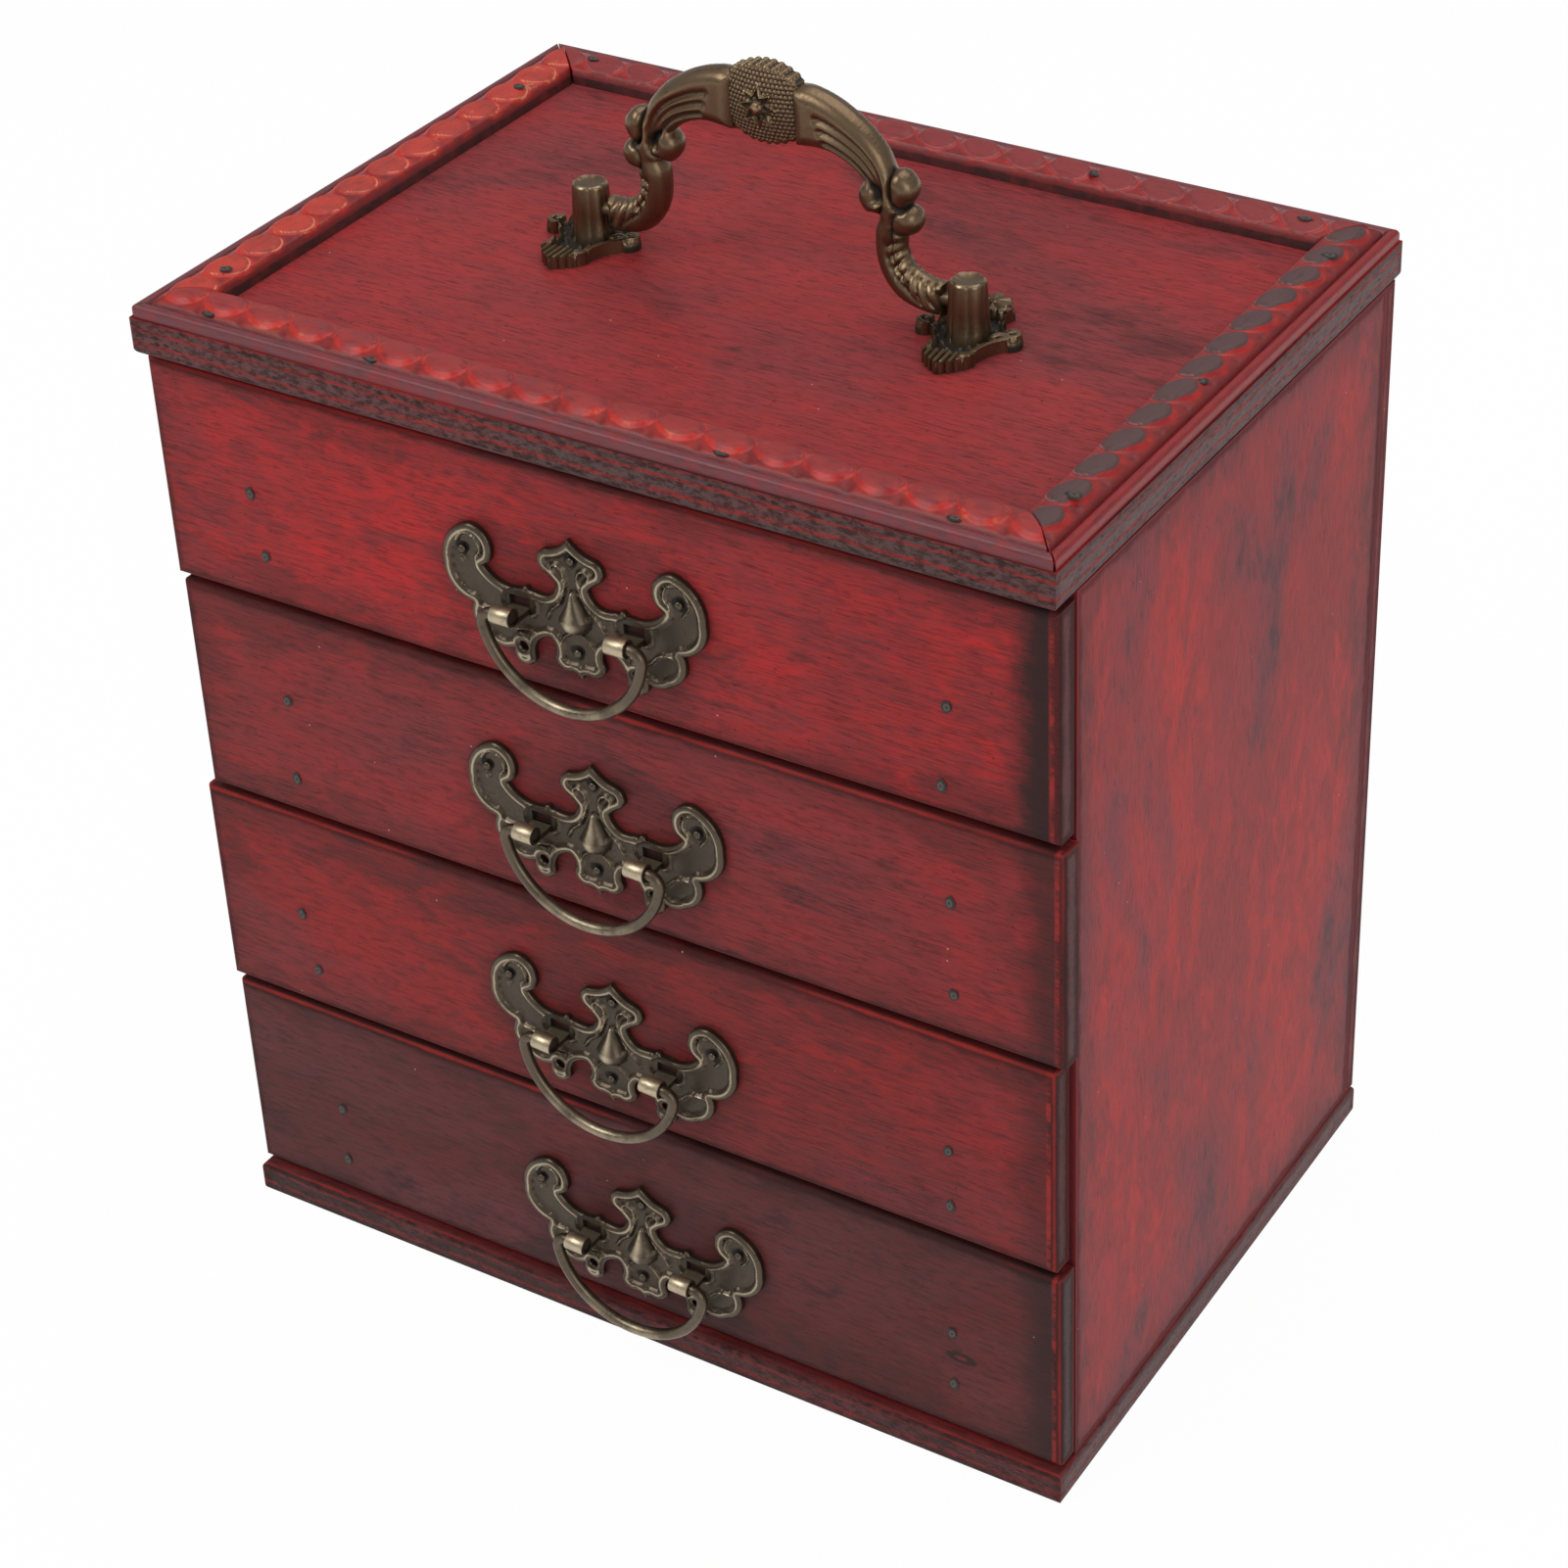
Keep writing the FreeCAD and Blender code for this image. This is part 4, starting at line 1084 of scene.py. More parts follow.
@dataclass
class Studio:
    """Pale floor, soft light and the camera at the photograph's place."""

    camera_at: tuple[float, float, float] = (353.2 * MM, -539.5 * MM, 541.0 * MM)
    azimuth: float = 30.48
    elevation: float = 32.48
    roll: float = -1.21
    focal_pixels: float = 3783.3
    shift_pixels: tuple[float, float] = (160.0, -130.0)
    floor_half: float = 6.0
    cover: float = 0.97
    # each lamp's name, place, width and power
    lamps: tuple = (
        ("key", (-0.75, -1.0, 1.5), 1.0, 13),
        ("fill", (1.5, -0.9, 0.9), 1.2, 9),
        ("top", (0.1, 0.5, 1.7), 1.3, 9),
    )
    lamps_aim: tuple[float, float, float] = (0, 0, 0.12)
    room_light: float = 0.42

    def build(self) -> None:
        """Make the camera, the lamps, the world and the floor."""
        self.make_camera()
        for lamp in self.lamps:
            self.make_lamp(*lamp)
        self.make_world()
        self.make_floor()

    def make_camera(self) -> None:
        """Set the camera where it stood, with the frame's own shift."""
        a, e, r = (math.radians(angle) for angle in (self.azimuth, self.elevation, self.roll))
        back = Vector((math.sin(a) * math.cos(e), -math.cos(a) * math.cos(e), math.sin(e)))
        level = (-back).cross(Vector((0, 0, 1))).normalized()
        rise = level.cross(-back)
        right = level * math.cos(r) + rise * math.sin(r)
        up = rise * math.cos(r) - level * math.sin(r)
        lens = bpy.data.cameras.new("camera")
        lens.sensor_width = 36
        lens.lens = self.focal_pixels * lens.sensor_width / FRAME_PIXELS
        lens.shift_x = -self.shift_pixels[0] / FRAME_PIXELS
        lens.shift_y = self.shift_pixels[1] / FRAME_PIXELS
        lens.clip_start, lens.clip_end = 0.01, 30
        camera = add_object("camera", lens)
        turned = Matrix((right, up, back)).transposed().to_4x4()
        turned.translation = Vector(self.camera_at)
        camera.matrix_world = turned
        bpy.context.scene.camera = camera

    def make_lamp(self, name: str, at: tuple[float, float, float], size: float, power: float) -> None:
        """Set one soft lamp.

        Args:
            name: Name of the lamp.
            at: Where it stands.
            size: Width of its square.
            power: Its power in watts.
        """
        lamp = bpy.data.lights.new(name, "AREA")
        lamp.size, lamp.energy = size, power
        holder = add_object(name, lamp)
        holder.location = at
        aim = Vector(self.lamps_aim) - Vector(at)
        holder.rotation_mode = "QUATERNION"
        holder.rotation_quaternion = aim.to_track_quat("-Z", "Y")

    def make_world(self) -> None:
        """Light the room evenly, with white behind everything."""
        world = bpy.data.worlds.new("room")
        bpy.context.scene.world = world
        world.use_nodes = True
        recipe = Recipe.reopen(world)
        room = recipe.output.inputs["Surface"].links[0].from_node
        room.inputs["Color"].default_value = (1.0, 1.0, 1.0, 1.0)
        seen = recipe.node("ShaderNodeLightPath", {}, {}, "Is Camera Ray")
        strength = seen * (1.0 - self.room_light) + self.room_light
        recipe.tree.links.new(strength.socket, room.inputs["Strength"])

    def make_floor(self) -> None:
        """Lay a white floor that keeps the object's soft shadow."""
        mesh = bpy.data.meshes.new("floor")
        turns = full_turn(48)
        rim = self.floor_half * columns(np.cos(turns), np.sin(turns), 0.0)
        mesh.from_pydata(rim.tolist(), [], [tuple(range(len(turns)))])
        recipe = Recipe("floor_white")
        matt = recipe.node("ShaderNodeBsdfDiffuse", {}, {"Color": (0.93, 0.93, 0.93)})
        glow = recipe.node("ShaderNodeEmission", {}, {"Color": (1.0, 1.0, 1.0), "Strength": 1.0})
        path = recipe.node("ShaderNodeLightPath", {}, {}, "Is Camera Ray")
        seen = (path + path.beside("Is Glossy Ray")).least(1.0)
        cover = recipe.node("ShaderNodeMixShader", {}, {0: seen * self.cover, 1: matt, 2: glow})
        recipe.tree.links.new(cover.socket, recipe.output.inputs["Surface"])
        mesh.materials.append(recipe.material)
        floor = add_object("floor", mesh)


@dataclass
class Boards:
    """Case and drawers: every flat board keeps its own shape and gets its own stained or bare finish."""

    bare: PlainWood = field(default_factory=PlainWood)
    hidden_pieces: tuple = (
        ("left_side", Grain.DEPTH), ("right_side", Grain.DEPTH), ("back", Grain.ACROSS),
    )

    def build(self) -> None:
        """Dress all boards."""
        fronts = {
            1: StainedWood(vivid=0.8, smoke=0.6, end_band=0.95),
            2: StainedWood(
                ground=paint(124, 44, 45), red=paint(156, 40, 41), vivid=0.7, smoke=0.8, end_band=0.6,
            ),
            3: StainedWood(
                ground=paint(112, 38, 38), red=paint(150, 36, 35), vivid=0.8, smoke=0.7, end_band=0.35,
            ),
            4: StainedWood(
                ground=paint(82, 38, 37), red=paint(108, 36, 36), vivid=0.6, smoke=0.9, end_band=0.75,
                knots=((77.6, 28.8),),
            ),
        }
        for number, wood in fronts.items():
            pivot = find_joint(f"bail_{number}_swing")["pos_m"]
            wood = replace(wood, pull=(pivot[0], pivot[2]))
            self.dress(f"drawer_{number}_front", wood, Grain.ACROSS, 3.1 * number)
            for piece, grain in self.hidden_pieces:
                self.dress_bare(f"drawer_{number}_{piece}", grain, 2.7 * number)
            self.dress_bare(f"drawer_{number}_bottom", Grain.ACROSS, 1.3 * number)
        side = StainedWood(
            ground=paint(138, 37, 39), red=paint(186, 42, 37), dull=paint(110, 48, 57),
            dark=paint(66, 32, 38), vivid=0.8, smoke=1.0, arris_highlight=0.2, streak=0.7, edge_shade=0.55,
        )
        for node, seed in (("left_side", 21.0), ("right_side", 22.0), ("back_panel", 23.0)):
            self.dress(node, side, Grain.UP, seed)
        top = Plywood(
            ground=paint(138, 48, 50), red=paint(166, 47, 48), dull=paint(112, 56, 60),
            vivid=0.7, smoke=0.65,
        )
        self.dress("top_panel", top, Grain.ACROSS, 24.0)
        base = replace(
            top, ply=paint(58, 38, 37), ply_red=paint(116, 38, 36),
            layers=((0.3, 0.42), (0.72, 0.8), (0.94, 1.0)),
        )
        self.dress("base_panel", base, Grain.ACROSS, 25.0)
        for number in (1, 2, 3):
            self.dress_bare(f"shelf_{number}", Grain.ACROSS, 30.0 + number)

    def dress(self, node: str, wood: StainedWood, grain: Grain, seed: float) -> None:
        """Give a board its stained finish."""
        self.assign(node, wood.board(f"{node}_stain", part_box(node), grain, seed))

    def dress_bare(self, node: str, grain: Grain, seed: float) -> None:
        """Give a board its bare finish."""
        self.assign(node, self.bare.build(f"{node}_bare", grain, seed))

    @staticmethod
    def assign(node: str, material: bpy.types.Material) -> None:
        """Put a material in a node's slots."""
        slots = frame["nodes"][node].data.materials
        slots.clear()
        slots.append(material)


@dataclass
class Moulding:
    """One carved strip: a round fascia, a groove and a row of worn pillows, cut off at its mitres."""

    node: str
    turn: float
    pitch: float = 10.3 * MM
    step: float = 0.36 * MM
    fascia: float = 2.6 * MM
    groove_at: float = 2.5 * MM
    groove_depth: float = 0.9 * MM
    inner_edge: float = 11.4 * MM
    crown: float = 4.75 * MM
    inner_height: float = 3.0 * MM
    mitre_gap: float = 0.15 * MM
    slant: float = 0.22

    def build(self, material: bpy.types.Material) -> bpy.types.Object:
        """Carve the strip and set it in place of its node.

        Args:
            material: Its finish.

        Returns:
            The strip.
        """
        low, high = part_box(self.node)
        middle, size = (low + high) / 2, high - low
        spun = Matrix.Rotation(math.radians(self.turn), 4, "Z")
        long, wide = (size.x, size.y) if self.turn % 180 == 0 else (size.y, size.x)
        stations = np.arange(-long / 2 - self.step, long / 2 + self.step * 2, self.step)
        profile = self.profile(wide)
        along, u = np.meshgrid(stations, profile[:, 0], indexing="ij")
        height, relief, tone = self.surface(along, u, np.broadcast_to(profile[:, 1], u.shape))
        body = Body()
        rows = columns(along, u - wide / 2, height)
        body.grid(rows, relief, tone, around=True, capped=True)
        place = Matrix.Translation((middle.x, middle.y, low.z)) @ spun
        piece = body.moved(place).make(f"{self.node}_carved", material, sharp=60)
        self.cut_mitres(piece, place, long, wide)
        place_on(piece, "case", "painted_wood", self.node)
        return piece

    def cut_mitres(self, piece: bpy.types.Object, place: Matrix, long: float, wide: float) -> None:
        """Cut both ends off aslant.

        Args:
            piece: The strip.
            place: Where it stands.
            long: Its length at the outer edge.
            wide: Its width.
        """
        shape = bmesh.new()
        shape.from_mesh(piece.data)
        for sign in (-1, 1):
            corner = place @ Vector((sign * (long / 2 - self.mitre_gap), -wide / 2, 0))
            normal = place.to_3x3() @ Vector((sign, 1, 0)).normalized()
            everything = [*shape.verts, *shape.edges, *shape.faces]
            cut = bmesh.ops.bisect_plane(
                shape, geom=everything, plane_co=corner, plane_no=normal, clear_outer=True
            )
            rim = [e for e in cut["geom_cut"] if isinstance(e, bmesh.types.BMEdge)]
            bmesh.ops.holes_fill(shape, edges=rim, sides=0)
        shape.to_mesh(piece.data)
        shape.free()

    def profile(self, wide: float) -> Points:
        """Points round the section: distance in from the outer edge, and height, foot included."""
        nose = self.fascia * 0.38
        bend = np.linspace(0, math.pi / 2, 6)
        rim = columns(nose - nose * np.cos(bend), self.fascia - nose + nose * np.sin(bend))
        top = columns(np.linspace(nose * 1.2, self.inner_edge, 46), 0.0)
        wall = np.array([[wide - 0.4 * MM, self.inner_height * 0.5], [wide, 0.0]])
        return np.vstack([[[0, 0]], rim, top, wall])

    def surface(self, along: Points, u: Points, base: Points) -> tuple[Points, Points, Points]:
        """Heights, relief and tone over the strip; tone is -1 on the fascia, high on worn tops, and highest
        on the pillows' rims, where the finish paints a highlight.

        Args:
            along: Place along the strip.
            u: Distance in from the outer edge.
            base: Height of the section's own points, 0 where the pillows stand.

        Returns:
            Height, relief and tone at each point.
        """
        start = self.groove_at
        share = np.clip((u - start) / (self.inner_edge - start), 0, 1)
        cell = along / self.pitch + self.slant * (share - 0.5)
        across = ((cell + 0.5) % 1 - 0.5) * 2
        number = np.floor(cell + 0.5)
        vary = np.sin(number * 12.9898 + self.turn)
        reach = np.hypot(across / (0.9 + 0.04 * vary), (share - 0.57 - 0.03 * vary) / 0.43)
        floor = self.fascia - self.groove_depth
        low = floor + (self.inner_height - floor) * share
        swell = np.sin(np.pi * share ** 0.82) ** 0.5
        dome = 0.6 + 0.4 * smooth(reach, 1.12, 0.72) + 0.03 * near(reach - 0.97, 0.07)
        cut = near(np.abs(across) - 1, 0.16) * near(share - 0.13, 0.09)
        pillow = low + (self.crown * (0.985 + 0.015 * vary) - low) * swell * dome - cut * 0.25 * MM
        blend = smooth(u, start - 1.0 * MM, start)
        flat = self.fascia * (1 - blend) + floor * blend
        pillowed = (base == 0) & (u > self.fascia * 0.4) & (u <= self.inner_edge)
        height = np.where(pillowed, np.where(u > start, pillow, flat), base)
        rising = smooth(u, start, start + 0.8 * MM)
        # low relief in the groove and the cuts, which the finish darkens as painted shade
        carved = 0.2 + rising * (0.25 + 0.5 * smooth(reach, 1.2, 0.8)) - 0.2 * cut
        relief = np.where(u > start, carved, 0.5 - 0.3 * blend)
        # tone above 1.1 rings each pillow's rim, for a painted highlight
        tone = smooth(reach, 0.95, 0.84) + 1.5 * near(reach - 0.96, 0.07) * smooth(share, 0.2, 0.6)
        tone = np.where(u > start, tone * rising, -1.0)
        inner = u > self.inner_edge
        return height, np.where(pillowed, relief, np.where(inner, 0.12, 0.5)), np.where(inner, 0.0, tone)


@dataclass
class Pull:
    """Bail pull: a bat-wing plate with rolled lips and a drop, barrels, tacks and a wire bail."""

    number: int
    top: tuple[float, float] = (0, 16.8)
    edge: tuple = (
        ((2.2, 14.8), (5.6, 13.5)),
        ((7.4, 11.0), (6.0, 8.7)),
        ((4.6, 7.7), (3.6, 6.7)),
        ((4.6, 4.3), (7.5, 3.2)),
        ((10.2, 3.5),),
        ((10.9, 4.2), (11.6, 3.5)),
        ((16.0, 3.4), (20.3, 6.4)),
        ((18.9, 7.4),),
        ((18.2, 11.4), (22.8, 14.9)),
        ((27.8, 11.6), (29.4, 5.6)),
        ((28.3, 0.8), (23.6, -2.2)),
        ((23.9, -6.0), (20.6, -9.4)),
        ((18.0, -10.6), (15.0, -10.1)),
        ((13.2, -13.3), (10.4, -11.4)),
        ((8.6, -6.6), (6.2, -5.6)),
        ((5.2, -8.2), (5.7, -9.4)),
        ((4.6, -11.6), (2.0, -12.0)),
        ((1.0, -12.2), (0, -13.4)),
    )
    tacks: tuple = ((0, 12.2), (-0.6, -7.8), (-25, 9), (23.6, 8.8))
    empty_holes: tuple = ((-12.8, -9.2), (12.8, -9.2))
    # ridges of the right half: their lines, then how wide and how high they are
    ridges: tuple = (
        (((1.2, 8.2), (2.0, 5.4), (3.2, 2.6), (5.2, 0.6), (6.6, -1.6)), 0.42, 0.42),
        (((1.9, 7.4), (1.5, 8.9), (2.1, 10.4), (3.4, 10.9), (4.3, 10.0), (3.9, 8.9)), 0.46, 0.7),
        (((1.4, -3.6), (3.0, -4.8), (4.0, -6.8), (4.0, -9.4)), 0.4, 0.4),
        (((9.0, -5.4), (11.2, -5.0), (15.6, -5.8), (18.4, -3.4), (22.6, -2.6)), 0.42, 0.5),
        (
            ((24.6, 6.4), (26.2, 9.2), (24.6, 12.4), (21.6, 12.2), (20.6, 9.6), (21.8, 7.6), (20.6, 5.0)),
            0.4, 0.4,
        ),
    )
    thick: float = 1.6
    rim: float = 1.8
    drop_radius: float = 3.4
    drop_top: float = 6.2
    drop_proud: float = 4.0
    barrel_start: float = 10.6
    barrel_end: float = 15.2
    barrel_radius: float = 1.88
    strap: float = 1.1
    window: float = 2.2
    out: float = 6.2
    wire: float = 1.2
    wire_fit: float = 0.05
    bail_drop: float = 17.6
    bend: float = 2.4

    def __post_init__(self) -> None:
        """Find the pull's own place: its pivot line and its turn, from its joint."""
        joint = find_joint(f"bail_{self.number}_swing")
        way = Vector(joint["axis"]) * (-1 if joint["axis"][0] < 0 else 1)
        out = Vector((0, -1, 0))
        turned = Matrix((way, -out, way.cross(-out))).transposed().to_4x4()
        turned.translation = Vector(joint["pos_m"]) - out * (self.out * MM)
        self.matrix = turned @ Matrix.Scale(MM, 4)

    def build(self, bronze: bpy.types.Material, wire: bpy.types.Material) -> None:
        """Make the plate, the tacks and the bail.

        Args:
            bronze: Finish of the plate and the tacks.
            wire: Finish of the bail.
        """
        plate, tacks, bail = Body(), Body(), Body()
        self.casting().build(plate, standing)
        for side in (-1, 1):
            self.add_barrel(plate, side)
        for x, z in self.tacks:
            self.add_tack(tacks, x, z)
        self.add_bail(bail)
        drawer = f"drawer_{self.number}"
        for part, kind, make, finish, carrier in (
            (plate, "plate", "cast", bronze, drawer),
            (tacks, "pins", "domed", bronze, drawer),
            (bail, "bail", "wire", wire, f"bail_{self.number}"),
        ):
            node = f"pull_{self.number}_{kind}"
            piece = part.moved(self.matrix).make(f"{node}_{make}", finish)
            place_on(piece, carrier, "antique_bronze", node)

    def outline(self, gap: float) -> Points:
        """Closed outline of the plate, in millimetres about the pivot line's middle."""
        right = follow(self.top, self.edge, gap)
        left = right[-2:0:-1] * (-1, 1)
        return np.vstack([right, left])

    def casting(self) -> Casting:
        """Plate with its windows and holes, and the height of its face."""
        low = self.strap - self.barrel_radius
        high = low + self.window
        holes = []
        for side in (-1, 1):
            near_end, far_end = sorted((side * self.barrel_start, side * self.barrel_end))
            corners = ((near_end, low), (far_end, low), (far_end, high), (near_end, high))
            holes.append(np.array(corners, float))
        turns = full_turn(14)
        ring = columns(np.cos(turns), np.sin(turns))
        holes += [ring * 0.95 + np.array(spot) for spot in self.empty_holes]
        return Casting(self.outline(0.4), holes, self.face, 0.34)

    def face(self, points: Points, depth: Points) -> tuple[Points, Points]:
        """Height and relief of the plate's face: a rolled rim, a sunk field, ridges, pits and the drop.

        Args:
            points: Points on the face.
            depth: Distance of each from the nearest rim.

        Returns:
            Height and relief.
        """
        half = columns(np.abs(points[:, 0]), points[:, 1])
        middle, window_at = self.rim * 0.52, (self.barrel_start + self.barrel_end) / 2
        by_window = np.hypot((half[:, 0] - window_at) / 4.4, (half[:, 1] - 0.3) / 3.1)
        kept = smooth(by_window, 0.75, 1.0)
        bead = np.sqrt(np.clip(1 - ((depth - middle) / (middle + 0.12)) ** 2, 0, 1)) * kept
        field = smooth(depth, self.rim * 0.7, self.rim)
        height = self.thick - 0.85 + 0.85 * bead
        # the lip lifts the relief along the bead's inner side, which turns it brass: a painted highlight
        # line
        lip = near(depth - middle * 1.25, 0.3) * kept
        # the relief drops by the windows, painted shade there; the sunk field darkens a little
        relief = 0.36 + 0.3 * bead + 0.35 * lip - 0.06 * field - 0.1 * (1 - kept)
        for line, width, rise in self.ridges:
            shape = near(beside(half, curve(line, 0.4))[0], width)
            height = np.maximum(height, self.thick - 1.0 + (rise + 0.5) * shape)
            relief = np.maximum(relief, 0.95 * shape)
        for x, z in self.tacks:
            aside, above = points[:, 0] - x, points[:, 1] - z
            away, angle = np.hypot(aside, above), np.arctan2(above, aside)
            pit = smooth(away, 1.75 + 0.3 * np.sin(3 * angle + x), 1.15)
            height = height - (height - 0.45) * pit
            relief = relief * (1 - pit)
        cone, proud = self.drop(points)
        return np.maximum(height, cone), np.where(cone > height, proud, relief)

    def drop(self, points: Points) -> tuple[Points, Points]:
        """Height and relief of the raised drop, pointed upwards."""
        x, z = points[:, 0], points[:, 1]
        share = np.clip(z / self.drop_top, 0, 1)
        low = np.clip(-z / self.drop_radius, 0, 1)
        above, below = 0.16 + 0.84 * (1 - share) ** 1.5, np.sqrt(1 - low ** 2)
        reach = self.drop_radius * np.where(z > 0, above, below)
        inside = np.clip(1 - np.abs(x) / np.maximum(reach, 0.05), 0, 1) * (share < 1) * (low < 1)
        peak = self.drop_proud * np.where(z > 0, 1 - 0.55 * share ** 0.8, (1 - low ** 2.5) ** 0.5)
        peak = peak * np.where(share > 0.9, (1 - share) * 10, 1)
        height = self.thick * 0.5 + (peak - self.thick * 0.5) * np.sqrt(1 - (1 - inside) ** 2)
        return np.where(inside > 0, height, 0), 0.55 + 0.45 * inside

    def add_barrel(self, body: Body, side: int) -> None:
        """Add one rolled barrel, with the strap under it that holds it to the plate."""
        near_end, far_end = sorted((side * self.barrel_start, side * self.barrel_end))
        bore, radius, out = self.wire + self.wire_fit, self.barrel_radius, self.out
        over = radius - self.strap
        start = math.asin(over / radius)
        roll = math.pi / 2 + (math.pi * 3 / 2 + start) * np.linspace(0, 1, 26)
        outer = columns(radius * np.cos(roll) - out, -radius * np.sin(roll))
        inner = columns(bore * np.cos(roll[::-1]) - out, -bore * np.sin(roll[::-1]))
        below = np.linspace((-0.4, -radius), (-out, -radius), 6)[:-1]
        above = np.linspace((radius * math.cos(start) - out, -over), (-0.4, -over), 6)[1:]
        section = np.vstack([below, outer, above])
        bevel, middle = 0.18, np.array((-out, 0))
        rows, shares = [], []
        ends = ((near_end, bevel), (near_end + bevel, 0), (far_end - bevel, 0), (far_end, bevel))
        for x, inset in ends:
            drawn = section + (middle - section) * (inset / 3)
            rows.append(columns(x, drawn[:, 0], drawn[:, 1]))
            shares.append(1.0 if inset == 0 else 0.7)
        body.grid(np.array(rows), np.repeat(np.array(shares)[:, None], len(section), axis=1), around=True)
        tunnel = [columns(x, inner[:, 0], inner[:, 1]) for x in (near_end, far_end)]
        body.grid(np.array(tunnel), 0.05, around=True)
        for x, row in ((near_end, rows[0]), (far_end, rows[-1])):
            ring = columns(x, inner[::-1, 0], inner[::-1, 1])
            body.grid(np.array([row[5:31], ring]), 0.5)
            cap = np.vstack([row[:6], row[30:]])
            body.add(cap, [tuple(range(len(cap)))], 0.5)

    def add_tack(self, body: Body, x: float, z: float) -> None:
        """Add one small domed tack through the plate, a little askew."""
        body.ball((x + 0.1, -self.thick + 0.6, z - 0.1), (0.95, 0.6, 0.9), 0.75, 12)
        shank = ((x, -self.thick + 0.6, z), (x, 3.6, z), (x, 4.6, z))
        body.tube(shank, [0.5, 0.45, 0.08], 8, 0.3)

    def add_bail(self, body: Body) -> None:
        """Add the wire: a low arc, two bends and the ends that turn in the barrels."""
        inner, corner = self.barrel_start + 0.3, self.barrel_end + 0.3
        drop, bend = self.bail_drop, self.bend
        radius = (corner ** 2 + (drop - bend) ** 2 - bend ** 2) / (2 * (drop - 2 * bend))
        middle, turn_at = np.array((0, radius - drop)), np.array((corner, -bend))
        outward = (turn_at - middle) / np.linalg.norm(turn_at - middle)
        touch = middle + outward * radius
        half = turn_at + bend * (outward + (0, 1)) / np.linalg.norm(outward + (0, 1))
        right = follow((inner, 0), (((corner, 0),), (tuple(half), tuple(touch))), 0.5)
        low = arc(touch, (0, -drop), touch * (-1, 1), 0.8)
        line = np.vstack([right, low, right[-2::-1] * (-1, 1)])
        path = columns(line[:, 0], -self.out, line[:, 1])
        sag = np.clip(-line[:, 1] / drop, 0, 1)
        body.tube(path, self.wire * (0.97 + 0.03 * sag), 18, 0.4 + 0.35 * sag)


def by_handle(middle: Sequence[float]) -> Matrix:
    """Place in millimetres about a point, turned as the handle's pivot line is."""
    axis = find_joint("handle_swing")["axis"]
    turn = math.atan2(axis[1], axis[0])
    return Matrix.Translation(middle) @ Matrix.Rotation(turn, 4, "Z") @ Matrix.Scale(MM, 4)


